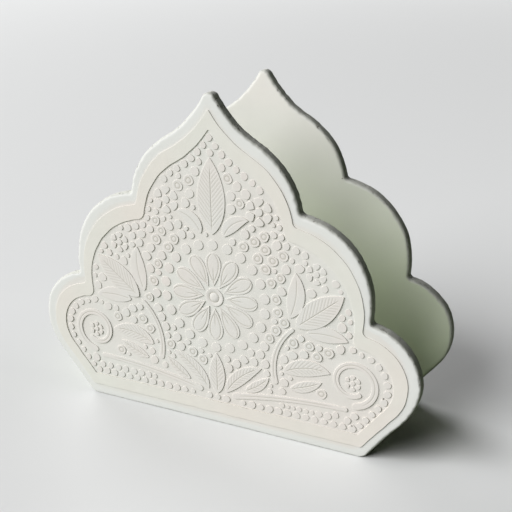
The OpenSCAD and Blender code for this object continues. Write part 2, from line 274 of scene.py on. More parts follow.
@dataclass(frozen=True)
class LobedOutline:
    """Outline of a panel: tangent arcs from a pointed tip over three lobes to a slanting foot."""

    width: float = 170 * MM  # across the lower lobes
    height: float = 139.6 * MM  # from the table to the tip
    tip_r: float = 3 * MM
    flank_r: float = 48 * MM  # of the hollow flanks under the tip
    cusp_r: float = 1.5 * MM
    corner_r: float = 6 * MM  # of the foot's corners
    slant: float = 38.0  # of the foot's sides, in degrees from upright
    # Centre across and radius as shares of half the width, centre up as a share of the height.
    lobes: tuple[tuple[float, float, float], ...] = (
        (0.035, 0.659, 0.4), (0.382, 0.462, 0.388), (0.73, 0.25, 0.27))
    # Of a border line, as shares of its inset: how its lobes move across and up and change their radius,
    # how far its tip drops and how its cusps grow.
    drifts: tuple[tuple[float, float, float], ...] = (
        (-0.3, -0.7, -0.3), (-0.45, -0.85, -0.2), (-0.2, -0.2, -0.8))
    tip_drop: float = 1.35
    cusp_growth: float = 0.2
    least_r: float = 0.5 * MM  # of a border line's tip and corners
    spacing: float = 0.7 * MM  # between points
    least_points: int = 4  # of a stretch
    # Lengths of the stretches from tip to foot that set their numbers of points, as shares of half the width.
    stretches: tuple[float, ...] = (0.05, 0.36, 0.46, 0.06, 0.64, 0.06, 0.56, 0.26, 0.08, 0.7)

    def edge(self, inset: float = 0.0) -> np.ndarray:
        """Draw the outline, or a line inside it and square to it.

        Args:
            inset: Distance of the line from the outline.

        Returns:
            Its points, as points x 2.
        """
        lobes = [(x, y, r - inset) for x, y, r in self._lobes()]
        return self._whole(lobes, self.height - self.tip_r, self.tip_r - inset, self.flank_r + inset,
                           self.cusp_r + inset, inset, self.corner_r - inset)

    def line(self, inset: float) -> np.ndarray:
        """Draw a border line, which keeps the crisp cusps.

        Args:
            inset: Its distance from the edge.

        Returns:
            Its points, as points x 2.
        """
        lobes = [(x + inset * dx, y + inset * dy, r + inset * dr)
                 for (x, y, r), (dx, dy, dr) in zip(self._lobes(), self.drifts)]
        tip_r = max(self.tip_r - inset, self.least_r)
        return self._whole(lobes, self.height - self.tip_drop * inset - tip_r, tip_r, self.flank_r,
                           self.cusp_r + self.cusp_growth * inset, inset,
                           max(self.corner_r - inset, self.least_r))

    def foot_x(self, height: float) -> float:
        """Return the distance across to the slanting side of the foot at a height."""
        (x, y, r), lean = self._lobes()[2], math.radians(self.slant)
        return x + (r + math.sin(lean) * (height - y)) / math.cos(lean)

    def _lobes(self) -> list[tuple[float, float, float]]:
        """Return the centre and radius of each lobe."""
        half = self.width / 2
        return [(x * half, y * self.height, r * half) for x, y, r in self.lobes]

    @staticmethod
    def _meet(first: np.ndarray, r_first: float, second: np.ndarray, r_second: float) -> np.ndarray:
        """Find the point at two distances from two centres, to the left of the way between them.

        Args:
            first: One centre.
            r_first: Distance from it.
            second: The other centre.
            r_second: Distance from it.

        Returns:
            The point.
        """
        gap = float(np.linalg.norm(second - first))
        way = (second - first) / gap
        along = (r_first ** 2 - r_second ** 2 + gap ** 2) / (2 * gap)
        aside = math.sqrt(max(0.0, r_first ** 2 - along ** 2))
        return first + along * way + aside * np.array([-way[1], way[0]])

    def _whole(self, lobes: Sequence[tuple[float, float, float]], tip_up: float, r_tip: float,
               r_flank: float, r_cusp: float, floor: float, r_corner: float) -> np.ndarray:
        """Draw the closed line of both halves. Every line has as many points as every other.

        Args:
            lobes: Centre and radius of each lobe.
            tip_up: Height of the tip's centre.
            r_tip: Radius of the tip.
            r_flank: Radius of the flanks.
            r_cusp: Radius of the cusps.
            floor: Height of the foot.
            r_corner: Radius of its corners.

        Returns:
            The line, as points x 2.
        """
        tip = np.array([0.0, tip_up])
        (a, ra), (b, rb), (c, rc) = ((np.array([x, y]), r) for x, y, r in lobes)
        flank = self._meet(tip, r_flank + r_tip, a, r_flank + ra)
        upper = self._meet(a, ra + r_cusp, b, rb + r_cusp)
        lower = self._meet(b, rb + r_cusp, c, rc + r_cusp)
        lean, quarter = math.radians(self.slant), math.pi / 2
        foot_y = floor + r_corner
        foot = np.array([c[0] + (rc - r_corner + math.sin(lean) * (foot_y - c[1])) / math.cos(lean), foot_y])
        side = unit(np.array(-lean))

        def heading(start: np.ndarray, end: np.ndarray) -> float:
            """Return the heading from one point to another."""
            return math.atan2(*(end - start)[::-1]) % (2 * math.pi)

        def arc(centre: np.ndarray, r: float, start: float, end: float) -> Callable[[int], np.ndarray]:
            """Return what draws an arc with a number of points."""
            return lambda count: centre + r * unit(np.linspace(start, end, count, endpoint=False))

        def straight(start: np.ndarray, end: np.ndarray) -> Callable[[int], np.ndarray]:
            """Return what draws a straight with a number of points."""
            return lambda count: start + (end - start) * np.linspace(0.0, 1.0, count, endpoint=False)[:, None]

        draws = [
            arc(tip, r_tip, quarter, heading(tip, flank)),
            arc(flank, r_flank, heading(flank, tip), heading(flank, a)),
            arc(a, ra, heading(a, flank), heading(a, upper)),
            arc(upper, r_cusp, heading(upper, a), heading(upper, b)),
            arc(b, rb, heading(b, upper), heading(b, lower) - 2 * math.pi),
            arc(lower, r_cusp, heading(lower, b), heading(lower, c)),
            arc(c, rc, heading(c, lower), -lean),
            straight(c + rc * side, foot + r_corner * side),
            arc(foot, r_corner, -lean, -quarter),
            straight(foot - [0.0, r_corner], np.array([0.0, floor])),
        ]
        right = [draw(max(self.least_points, round(share * (self.width / 2) / self.spacing)))
                 for draw, share in zip(draws, self.stretches)]
        right = np.vstack([*right, [[0.0, floor]]])
        return np.vstack([right, right[-2:0:-1] * [-1.0, 1.0]])


# Finishes


class Net:
    """A node tree, with short ways to add nodes and to feed them."""

    def __init__(self, tree: NodeTree) -> None:
        """Work on a tree."""
        self.tree = tree

    @classmethod
    def group(cls, kind: str, name: str, inputs: Iterable[Label], output: Label) -> Opened:
        """Start a node group.

        Args:
            kind: Type name of its tree.
            name: Name of the group.
            inputs: Name and type of each input.
            output: Name and type of its output.

        Returns:
            The net, the outputs of the group's input node, and its output node.
        """
        tree = bpy.data.node_groups.new(name, kind)
        for label, sort in inputs:
            tree.interface.new_socket(label, in_out="INPUT", socket_type=f"NodeSocket{sort}")
        tree.interface.new_socket(output[0], in_out="OUTPUT", socket_type=f"NodeSocket{output[1]}")
        net = cls(tree)
        return net, net.node("NodeGroupInput").outputs, net.node("NodeGroupOutput")

    def node(self, kind: str, feeds: Feeds | None = None, **settings: object) -> Node:
        """Add a node, set its properties and feed its inputs.

        Args:
            kind: The node's type name.
            feeds: Sockets or values for its inputs, by name or number.
            **settings: Properties of the node.

        Returns:
            The new node.
        """
        node = self.tree.nodes.new(kind)
        for name, value in settings.items():
            setattr(node, name, value)
        self.feed(node, feeds or {})
        return node

    def feed(self, node: Node, feeds: Feeds) -> None:
        """Link sockets to a node's inputs, or set the inputs to values.

        Args:
            node: The node.
            feeds: Sockets or values for its inputs, by name or number.
        """
        for name, value in feeds.items():
            if isinstance(value, Socket):
                self.tree.links.new(value, node.inputs[name])
            else:
                node.inputs[name].default_value = value

    def math(self, operation: str, *values: Value, **settings: object) -> Socket:
        """Add a math node on sockets or numbers and return its output."""
        feeds = dict(enumerate(values))
        return self.node("ShaderNodeMath", feeds, operation=operation, **settings).outputs[0]

    def mix(self, share: Socket, under: object, over: object) -> Socket:
        """Return a colour with a share of another over it, each a socket or a value."""
        feeds = {"Factor": share, MIX_UNDER: under, MIX_OVER: over}
        return self.node("ShaderNodeMix", feeds, data_type="RGBA").outputs[MIX_RESULT]


class SharedEffects:
    """Node groups that every clay finish uses, each built once."""

    @staticmethod
    def _start(name: str, inputs: Sequence[str], output: str) -> Opened:
        """Start a group with a Vector input, float inputs and one float output."""
        sockets = [("Vector", "Vector"), *((label, "Float") for label in inputs)]
        return Net.group("ShaderNodeTree", name, sockets, (output, "Float"))

    @staticmethod
    def _noise(net: Net, place: Socket, scale: Socket, detail: float, roughness: float = 0.5) -> Socket:
        """Return a noise."""
        feeds = {"Vector": place, "Scale": scale, "Detail": detail, "Roughness": roughness}
        return net.node("ShaderNodeTexNoise", feeds, noise_dimensions="3D").outputs["Fac"]

    @classmethod
    @cache
    def mottle(cls) -> NodeTree:
        """Build broad cloudy patches.

        Returns:
            The group, whose mask goes from 0 to 1.
        """
        net, given, sink = cls._start("Clay_Mottle", ("Scale", "Contrast"), "Mask")
        clouds = cls._noise(net, given["Vector"], given["Scale"], detail=3.0, roughness=0.45)
        centred = net.math("SUBTRACT", clouds, 0.5)
        net.feed(sink, {"Mask": net.math("MULTIPLY_ADD", centred, given["Contrast"], 0.5, use_clamp=True)})
        return net.tree

    @classmethod
    @cache
    def grain(cls) -> NodeTree:
        """Build the fine grain of fired clay, with faint sponge marks.

        Returns:
            The group, which puts out a height.
        """
        net, given, sink = cls._start("Clay_Grain", ("Scale", "Marks"), "Height")
        grain = cls._noise(net, given["Vector"], given["Scale"], detail=2.0)
        sponge = cls._noise(net, given["Vector"], given["Marks"], detail=1.0)
        net.feed(sink, {"Height": net.math("MULTIPLY_ADD", sponge, 2.0, grain)})
        return net.tree

    @classmethod
    @cache
    def pinholes(cls) -> NodeTree:
        """Build small scattered pinholes.

        Returns:
            The group, whose mask is 1 in a hole.
        """
        net, given, sink = cls._start("Clay_Pinholes", ("Scale", "Radius", "Share"), "Mask")
        cells = net.node("ShaderNodeTexVoronoi", {"Vector": given["Vector"], "Scale": given["Scale"]},
                         voronoi_dimensions="3D", feature="F1").outputs
        chance = net.node("ShaderNodeSeparateColor", {"Color": cells["Color"]}).outputs["Red"]
        near = net.math("LESS_THAN", cells["Distance"], given["Radius"])
        chosen = net.math("LESS_THAN", chance, given["Share"])
        net.feed(sink, {"Mask": net.math("MULTIPLY", near, chosen)})
        return net.tree

    @classmethod
    @cache
    def wear(cls) -> NodeTree:
        """Build small worn flecks and chips.

        Returns:
            The group, whose mask is 1 in a fleck.
        """
        net, given, sink = cls._start("Clay_Wear", ("Scale", "Least", "Full"), "Mask")
        flecks = cls._noise(net, given["Vector"], given["Scale"], detail=4.0, roughness=0.65)
        span = {"Value": flecks, "From Min": given["Least"], "From Max": given["Full"]}
        step = net.node("ShaderNodeMapRange", span, interpolation_type="SMOOTHSTEP")
        net.feed(sink, {"Mask": step.outputs["Result"]})
        return net.tree


def linear(rgb: Sequence[float]) -> tuple[float, float, float, float]:
    """Turn an sRGB colour to linear values.

    Args:
        rgb: The colour, from 0 to 255.

    Returns:
        The linear values, with full alpha.
    """
    values = [c / 255 for c in rgb]
    curve = [((c + SRGB_OFFSET) / (1.0 + SRGB_OFFSET)) ** SRGB_POWER for c in values]
    return (*(c / SRGB_SLOPE if c <= SRGB_KNEE else bent for c, bent in zip(values, curve)), 1.0)


@dataclass(frozen=True)
class Bisque:
    """Finish of fired, unglazed clay.

    Colours are sRGB from 0 to 255, and the scale of a pattern is about its repeats in a metre.
    """

    name: str
    body: Rgb
    warm: Rgb  # of the faintly pink clouds
    speckle: Rgb = (200, 198, 188)
    inner: Rgb = (206, 206, 200)  # painted shade on the inner faces, which stand in each other's shadow
    painted_light: Rgb = (224, 232, 209)  # painted light low on the inner faces, pale and green-tinted, which lifts their shade
    rim: Rgb = (227, 227, 225)
    edge: Rgb = (192, 193, 186)  # painted shade on the rounded edges, which dims their lit side and deepens their shaded side
    chip: Rgb = (146, 142, 130)
    scuff: Rgb = (226, 226, 220)
    groove: Rgb = (188, 184, 173)  # painted shade, with some dust, in cut lines and on walls
    pit: Rgb = (96, 90, 78)  # painted shade inside the pinholes
    warmth: float = 0.8  # share of the clouds
    speckle_share: float = 0.14
    chip_share: float = 0.5
    scuff_share: float = 0.4
    pit_share: float = 0.8
    cloud_scale: float = 22.0
    cloud_contrast: float = 3.2
    speckle_scale: float = 9.0  # times the clouds' own
    speckle_contrast: float = 1.6
    painted_light_scale: float = 38.0
    painted_light_contrast: float = 2.4
    painted_light_even: float = 0.75  # share of the painted light that is even
    painted_light_patchy: float = 0.35  # share of it that follows its patches
    chips: tuple[float, ...] = (420.0, 0.56, 0.68)  # scale, and the noise where a chip starts and is full
    scuffs: tuple[float, ...] = (640.0, 0.57, 0.66)  # the same, of a scuff
    pinholes: float = 0.07  # share of the places that hold a pinhole
    pinhole_scale: float = 170.0  # of the places
    pinhole_r: float = 0.065  # as a share of a place
    grain_scale: float = 2200.0
    sponge_scale: float = 160.0
    grain_depth: float = 0.03 * MM
    pit_depth: float = 6.0  # times the grain's, as is chip_depth
    chip_depth: float = 9.0
    roughness: float = 0.88
    roughness_play: float = 0.08
    gloss: float = 0.25

    def material(self) -> bpy.types.Material:
        """Give the material, building it at first use.

        Returns:
            The material.
        """
        known = bpy.data.materials.get(self.name)
        if known is not None:
            return known
        material = bpy.data.materials.new(self.name)
        material.use_nodes = True
        net = Net(material.node_tree)
        place = net.node("ShaderNodeTexCoord").outputs["Object"]

        def effect(tree: NodeTree, **values: float) -> Socket:
            """Return a shared effect with its own values."""
            return net.node("ShaderNodeGroup", {"Vector": place, **values}, node_tree=tree).outputs[0]

        def mark(name: str) -> Socket:
            """Return a mark of the skin."""
            return net.node("ShaderNodeAttribute", attribute_name=name).outputs["Fac"]

        def worn(flecks: Sequence[float]) -> Socket:
            """Return flecks on the worn edges."""
            values = dict(zip(("Scale", "Least", "Full"), flecks))
            return net.math("MULTIPLY", edge_shade_and_wear, effect(SharedEffects.wear(), **values))

        # the edges' colour is painted shade, and their flecks are wear
        edge_shade_and_wear = mark("edge")
        chips, scuffs = worn(self.chips), worn(self.scuffs)
        clouds = effect(SharedEffects.mottle(), Scale=self.cloud_scale, Contrast=self.cloud_contrast)
        fine = effect(SharedEffects.mottle(), Scale=self.cloud_scale * self.speckle_scale,
                      Contrast=self.speckle_contrast)
        patches = effect(SharedEffects.mottle(), Scale=self.painted_light_scale, Contrast=self.painted_light_contrast)
        patches = net.math("MULTIPLY_ADD", patches, self.painted_light_patchy, self.painted_light_even)
        holes = effect(SharedEffects.pinholes(), Scale=self.pinhole_scale, Radius=self.pinhole_r,
                       Share=self.pinholes)
        grain = effect(SharedEffects.grain(), Scale=self.grain_scale, Marks=self.sponge_scale)
        layers = [
            (net.math("MULTIPLY", clouds, self.warmth), self.warm),
            (net.math("MULTIPLY", fine, self.speckle_share), self.speckle),
            # painted shade on the inner faces, and painted light low on them
            (mark("inner"), self.inner),
            (net.math("MULTIPLY", mark("painted_light"), patches), self.painted_light),
            (mark("rim"), self.rim),
            # painted shade on the rounded edges
            (edge_shade_and_wear, self.edge),
            (net.math("MULTIPLY", chips, self.chip_share), self.chip),
            (net.math("MULTIPLY", scuffs, self.scuff_share), self.scuff),
            # painted shade, with some dust, in cut lines and on walls
            (mark("groove"), self.groove),
            # painted shade inside the pinholes
            (net.math("MULTIPLY", holes, self.pit_share), self.pit),
        ]
        colour = linear(self.body)
        for share, over in layers:
            colour = net.mix(share, colour, linear(over))
        least = self.roughness - self.roughness_play / 2
        height = net.math("MULTIPLY_ADD", chips, -self.chip_depth, grain)
        height = net.math("MULTIPLY_ADD", holes, -self.pit_depth, height)
        bump = net.node("ShaderNodeBump", {"Strength": 1.0, "Distance": self.grain_depth, "Height": height})
        net.feed(material.node_tree.nodes["Principled BSDF"], {
            "Base Color": colour, "Specular IOR Level": self.gloss, "Normal": bump.outputs["Normal"],
            "Roughness": net.math("MULTIPLY_ADD", fine, self.roughness_play, least)})
        return material


PANEL_CLAY = Bisque("Panel_Clay", body=(226, 225, 221), warm=(230, 223, 219))
BAND_CLAY = Bisque("Band_Clay", body=(229, 228, 222), warm=(233, 226, 220), warmth=0.9)
RELIEF_CLAY = Bisque("Relief_Clay", body=(227, 225, 222), warm=(231, 223, 219), cloud_scale=30.0)
# The base's green-tinted body is painted light, the same pale green as the painted light low on the inner
# faces.
BASE_CLAY = Bisque("Base_Clay", body=(224, 230, 212), warm=(220, 223, 207), warmth=0.6, pinholes=0.08)


# Pieces


@dataclass(frozen=True)
class Relief:
    """Sizes that all raised work shares."""

    rise: float = 0.27 * MM  # of the ornament over the face
    band_rise: float = 0.32 * MM
    bevel: float = 0.05 * MM  # rounding of the top edges
    sink: float = 0.3 * MM  # depth of a piece in the face, so that no gap shows under it
    splay: float = 0.01 * MM  # distance that a wall's foot stands out
    line: float = 0.15 * MM  # half width of a cut line
    line_depth: float = 0.12 * MM
    grid: float = 0.22 * MM  # between points on a carved top

    def shoulder(self, from_edge: np.ndarray, rise: float) -> np.ndarray:
        """Return the height of a top at distances from its edge."""
        part = np.clip(1.0 - from_edge / self.bevel, 0.0, 1.0)
        return rise - self.bevel * (1.0 - np.sqrt(1.0 - part ** 2))


def dress(mesh: Mesh, name: str, finish: Bisque, slot: str, node: str) -> None:
    """Make a finished mesh the visible piece for a node of the frame.

    Args:
        mesh: The mesh, in place.
        name: Name of the piece.
        finish: Its finish.
        slot: Not used.
        node: The node that it stands for.
    """
    piece = bpy.data.objects.new(name, mesh)
    bpy.context.scene.collection.objects.link(piece)
    mesh.materials.clear()
    mesh.materials.append(finish.material())
    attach(piece, "root")
    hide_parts(node)
    LOG.info("%s: %d faces, stands for %s", name, len(mesh.polygons), node)


@dataclass(frozen=True)
class Panel:
    """An upright slab of clay with a lobed outline and edges rounded by hand."""

    outline: LobedOutline
    thickness: float = 5 * MM
    round_in: float = 1.25 * MM  # width of the rounding on the face
    round_deep: float = 1.15 * MM
    round_play: Play = (1, 0.16, 24 * MM)  # of the rounding, as a share
    nicks: Play = (8, 0.18, 3.4 * MM)  # the same, over a few millimetres
    edge_play: Play = (0, 0.16 * MM, 17 * MM)  # of the outline
    chatter: Play = (9, 0.04 * MM, 2.8 * MM)  # the same, over a few millimetres
    face_play: Play = (2, 0.1 * MM, 34 * MM)
    foot_share: float = 0.45  # share of the rounding that the edge on the floor has
    edge_from: Point = (0.2 * MM, 3 * MM)  # heights where the outline's unevenness sets in
    face_from: Point = (0.5 * MM, 8 * MM)  # heights where the faces' sets in
    rim: float = RIM_W  # which wear has made whiter
    rim_fades: Point = (0.7, 1.15)  # where its whiteness fades out, as shares of its width
    shade_and_wear_turns: Point = (0.2, 1.0)  # angles round an edge where its painted shade and wear set in, in radians
    inner_turns: Point = (0.0, 1.5)  # angles where the inner face's painted shade sets in
    painted_light_between: Point = (0.25, 0.88)  # heights where the painted light low on the inner face thins out, as shares
    shade_fades_between: Point = (0.72, 1.02)  # heights where the inner face's painted shade gives way to the outer face's colour, as shares
    round_steps: int = 9
    face_rings: int = 30
    crowding: float = 1.25  # how much closer together the rings of a face are at its edge
    fill: float = 0.985  # share of the way to the middle that they cover
    middle_up: float = 0.39  # height of the middle of the rings, as a share
    width_to_way: float = 2.6  # the panel's width over the mean way from its edge to that middle
    inward_step: float = 0.9  # inset that shows the way inwards, as a share of the tip's radius

    def mesh(self, side: Side) -> Mesh:
        """Build the panel of one side as a plan's mesh, with its outer face at height 0.

        Args:
            side: The side.

        Returns:
            The mesh.
        """
        line, step = self.outline.edge(), self.outline.tip_r * self.inward_step
        inwards = (self.outline.edge(step) - line) / step
        played = [side.play(play).at(*line.T)
                  for play in (self.edge_play, self.chatter, self.round_play, self.nicks)]
        off_floor = smooth_step(line[:, 1], *self.edge_from)
        softness = 1.0 + played[2] + played[3]
        softness *= self.foot_share + (1.0 - self.foot_share) * off_floor
        line = line + inwards * ((played[0] + played[1] + self.edge_play[1]) * off_floor)[:, None]
        turns = np.linspace(0.0, math.pi / 2, self.round_steps)
        insets = [(1.0 - math.sin(turn)) * self.round_in * softness for turn in turns]
        drops = [(1.0 - math.cos(turn)) * self.round_deep * softness for turn in turns]
        levels = [-drop for drop in drops] + [drop - self.thickness for drop in drops[::-1]]
        rings = [np.column_stack([line + inwards * inset[:, None], level])
                 for inset, level in zip(insets + insets[::-1], levels)]
        parts = 1.0 - np.linspace(0.0, 1.0, self.face_rings + 1)[1:] ** self.crowding * self.fill
        stack = np.stack(self._face(rings[0], parts)[::-1] + rings + self._face(rings[-1], parts))
        across, up = stack[..., 0], stack[..., 1]
        stack[..., 2] += side.play(self.face_play).at(across, up) * smooth_step(up, *self.face_from)
        return Skin(stack, self._marks(turns, parts, up)).mesh(f"{side.value}_panel")

    def _face(self, edge: np.ndarray, parts: np.ndarray) -> list[np.ndarray]:
        """Return rings that fill a face from its edge to its middle, by their shares of its size."""
        middle = np.array([0.0, self.middle_up * self.outline.height, edge[:, 2].mean()])
        return [middle + (edge - middle) * [part, part, 1.0] for part in parts]

    def _marks(self, turns: np.ndarray, parts: np.ndarray, up: np.ndarray) -> dict[str, np.ndarray]:
        """Mark the rim, the painted shade and wear of the edges, the painted shade of the inner face and the
        painted light low on it.

        Args:
            turns: Angles of the rings round an edge.
            parts: Sizes of the rings on a face, as shares of its edge.
            up: Height of each point.

        Returns:
            The marks at each point.
        """
        inset = (1.0 - parts) * self.outline.width / self.width_to_way + self.round_in
        rim = 1.0 - smooth_step(inset, *(share * self.rim for share in self.rim_fades))
        # The edge mark carries painted shade and wear; the inner mark carries painted shade.
        worn, turned = smooth_step(turns, *self.shade_and_wear_turns), smooth_step(turns, *self.inner_turns)
        face, curve = np.zeros(len(parts)), np.zeros(len(turns))
        rows = {"rim": [rim[::-1], curve + 1.0, np.linspace(1.0, 0.0, len(turns)), face],
                "edge": [face, worn, worn[::-1], face],
                "inner": [face, curve, turned, face + 1.0]}
        marks = {mark: np.outer(np.concatenate(row), np.ones(up.shape[1])) for mark, row in rows.items()}
        # The inner face's painted shade fades out towards the top, and its painted light lies low down.
        shade_share, pale = (1.0 - smooth_step(up, *(share * self.outline.height for share in between))
                     for between in (self.shade_fades_between, self.painted_light_between))
        marks["inner"] *= shade_share
        marks["painted_light"] = marks["inner"] * pale
        return marks


@dataclass(frozen=True)
class BorderBand:
    """Flat raised band between two border lines."""

    outline: LobedOutline
    relief: Relief
    rim: float = RIM_W
    width: float = 5.4 * MM
    outer_play: Play = (3, 0.1 * MM, 9 * MM)
    inner_play: Play = (4, 0.1 * MM, 8 * MM)
    steps: int = 5  # points round each top edge
    fill: tuple[float, ...] = (0.03, 0.25, 0.5, 0.75, 0.97)  # places of the points across the top
    dust_and_shade: tuple[float, ...] = (1.0, 0.9, 0.5)  # painted shade and dust on a wall, from its foot up
    dust_and_shade_swing: Point = (0.6, 0.4)  # mean share of the painted shade and dust, and how much more a wall that faces up has

    def mesh(self, side: Side) -> Mesh:
        """Build the band of one side as a plan's mesh.

        Args:
            side: The side.

        Returns:
            The mesh.
        """
        outer, inner = self.outline.line(self.rim), self.outline.line(self.rim + self.width)
        span = np.linalg.norm(inner - outer, axis=1)[:, None]
        way = (inner - outer) / span
        outer = outer + way * side.play(self.outer_play).at(*outer.T)[:, None]
        inner = inner + way * side.play(self.inner_play).at(*inner.T)[:, None]
        bevel, rise = self.relief.bevel, self.relief.band_rise
        profile = [(-self.relief.splay, -self.relief.sink)]
        profile += [(bevel * (1 - math.cos(turn)), rise - bevel * (1 - math.sin(turn)))
                    for turn in np.linspace(0.0, math.pi / 2, self.steps)]
        lines = [outer + way * inset for inset, _ in profile]
        lines += [outer + way * span * part for part in self.fill]
        lines += [inner - way * inset for inset, _ in profile[::-1]]
        wall = [height for _, height in profile]
        heights = wall + [rise] * len(self.fill) + wall[::-1]
        rings = np.stack([np.column_stack([line, np.full(len(line), height)])
                          for line, height in zip(lines, heights)], axis=1)
        dust_and_shade = np.array([*self.dust_and_shade] + [0.0] * (len(lines) - len(self.dust_and_shade)))
        mean, swing = self.dust_and_shade_swing
        # Painted shade and dust on the walls, more on walls that face up.
        groove = np.outer(mean - swing * way[:, 1], dust_and_shade) + np.outer(mean + swing * way[:, 1], dust_and_shade[::-1])
        return Skin(rings, {"groove": groove}, closed=True).mesh(f"{side.value}_band")


@dataclass(frozen=True)
class Strip:
    """A raised strip of clay that follows a path: a leaf, petal, stem or scroll."""

    path: Path  # gives the points and headings at parts of the way along
    length: float
    half_width: Widths  # gives the half widths at parts of the way along
    widest: float  # greatest half width
    carving: Carving
    relief: Relief
    lift: float = 0.0  # extra height, where it lies over another
    crown: float = 0.02 * MM  # height of the middle over the edges
    least_width: float = 0.03 * MM
    end_crowding: float = 0.35  # how much closer together its points are at its ends
    least_along: int = 12  # points
    least_across: int = 3  # points on the flat of each half
    edge_points: tuple[float, ...] = (0.0, 0.12, 0.35, 0.7)  # over a rounded edge, as shares of it
    flat_from: float = 1.2  # distance from the edge where the even points end, the same
    dust_and_shade: Point = (0.9, 0.6)  # painted shade and dust in a cut line and on an edge
    # Where lines set in and run out are shares of the length, and depths and widths are shares of a line's.
    lines_start: Point = (0.04, 0.12)
    lines_end: Point = (0.8, 0.92)
    rib_depth: float = 0.8
    rib_ends: Point = (0.45, 0.6)  # in a rimmed shape
    vein_start: Point = (0.02, 0.1)
    vein_depth: float = 0.7
    vein_width: float = 0.8
    vein_pitch: float = 1.9 * MM
    vein_slope: float = math.radians(38)
    vein_margin: Point = (0.35 * MM, 0.8 * MM)  # distances from the edge over which veins run out
    vein_root: Point = (0.1 * MM, 0.5 * MM)  # distances from the rib over which they set in
    rim_inset: float = 1.0 * MM
    rim_from: Point = (1.1, 1.5)  # half widths over which a rim's line sets in, in rim insets

    def mesh(self, name: str) -> Mesh:
        """Build the strip as a plan's mesh.

        Args:
            name: Name of the mesh.

        Returns:
            The mesh.
        """
        relief = self.relief
        along = max(self.least_along, round(self.length / relief.grid))
        crowded = (1.0 - np.cos(np.linspace(0.0, math.pi, along + 1))) / 2
        parts = (1.0 - self.end_crowding) * np.linspace(0.0, 1.0, along + 1) + self.end_crowding * crowded
        points, headings = self.path(parts)
        widths = np.maximum(self.half_width(parts), self.least_width)
        sides = self._across()
        offset = widths[:, None] * sides[None, :]
        lines = self._lines(offset, parts[:, None] * self.length, widths[:, None])
        height = relief.shoulder(widths[:, None] - np.abs(offset), relief.rise + self.lift)
        height += self.crown * (1.0 - (offset / self.widest) ** 2) - relief.line_depth * lines
        dust_and_shade = np.clip(self.dust_and_shade[0] * lines + self.dust_and_shade[1] * (np.abs(sides) == 1.0), 0.0, 1.0)
        foot, sunk, full = widths + relief.splay, np.full(along + 1, -relief.sink), np.ones(along + 1)
        offset = np.column_stack([-foot, offset, foot])
        height = np.column_stack([sunk, height, sunk])
        flat = points[:, None, :] + offset[..., None] * unit(headings + math.pi / 2)[:, None, :]
        rings = np.concatenate([flat, height[..., None]], axis=2)
        return Skin(rings, {"groove": np.column_stack([full, dust_and_shade, full])}).mesh(name)

    def _across(self) -> np.ndarray:
        """Place the points across, closer together at the edges.

        Returns:
            Their places, from -1 to 1.
        """
        bevel = self.relief.bevel
        inner = max(self.least_across, round(self.widest / self.relief.grid))
        edge = bevel * np.array(self.edge_points) / self.widest
        flat = np.linspace(0.0, 1.0 - self.flat_from * bevel / self.widest, inner)
        right = np.concatenate([flat, 1.0 - edge[::-1]])
        return np.concatenate([-right[:0:-1], right])

    def _lines(self, offset: np.ndarray, run: np.ndarray, width: np.ndarray) -> np.ndarray:
        """Cut the lines of the carving.

        Args:
            offset: Distances across from the middle.
            run: Distances along.
            width: Half widths.

        Returns:
            The depth of the cut at each point, from 0 to 1.
        """
        line, off = self.relief.line, np.abs(offset)

        def past(places: np.ndarray, shares: Point) -> np.ndarray:
            """Return a rise from 0 to 1 between two shares of the length."""
            return smooth_step(places, shares[0] * self.length, shares[1] * self.length)

        ends = past(run, self.lines_start) * (1.0 - past(run, self.lines_end))
        rib = cut(offset, line) * ends
        if self.carving is Carving.GROOVED:
            return self.rib_depth * rib
        if self.carving is Carving.VEINED:
            back = run - off / math.tan(self.vein_slope)
            phase = np.abs((back / self.vein_pitch) % 1.0 - 0.5) * self.vein_pitch * math.sin(self.vein_slope)
            inside = smooth_step(width - off, *self.vein_margin) * smooth_step(off, *self.vein_root)
            vein = self.vein_depth * cut(phase, self.vein_width * line)
            return np.maximum(rib, vein * inside * past(back, self.vein_start) * ends)
        if self.carving is Carving.RIMMED:
            wide = smooth_step(width, *(share * self.rim_inset for share in self.rim_from))
            rim = cut(np.abs(width - off - self.rim_inset), line) * wide
            return np.maximum(rim, self.rib_depth * rib * (1.0 - past(run, self.rib_ends)))
        return np.zeros_like(offset)


def arc_path(root: Point, heading: float, length: float, turn: float) -> Path:
    """Lay a path that starts at a root and turns steadily.

    Args:
        root: Its first point.
        heading: Its first heading, in degrees.
        length: Its length.
        turn: Its turn from end to end, in degrees.

    Returns:
        The path.
    """
    start, first = np.array(root), math.radians(heading)

    def at(parts: np.ndarray) -> tuple[np.ndarray, np.ndarray]:
        """Follow the path.

        Args:
            parts: Parts of the way along.

        Returns:
            The points and headings there.
        """
        headings = first + math.radians(turn) * parts
        if turn == 0:
            return start + length * parts[:, None] * unit(np.array(first)), headings
        ahead = np.stack([np.sin(headings) - math.sin(first), math.cos(first) - np.cos(headings)], axis=-1)
        return start + length / math.radians(turn) * ahead, headings

    return at


def swell(half: float, powers: Point) -> Widths:
    """Shape a leaf or petal, whose widest place is where two powers balance.

    Args:
        half: Greatest half width.
        powers: Powers of the way from the root and from the tip.

    Returns:
        What gives the half widths.
    """
    rising, falling = powers
    peak = rising / (rising + falling)

    def at(parts: np.ndarray) -> np.ndarray:
        """Return the half widths at parts of the way along."""
        inner = np.clip(parts, 0.0, 1.0)
        return half * (inner / peak) ** rising * ((1.0 - inner) / (1.0 - peak)) ** falling

    return at


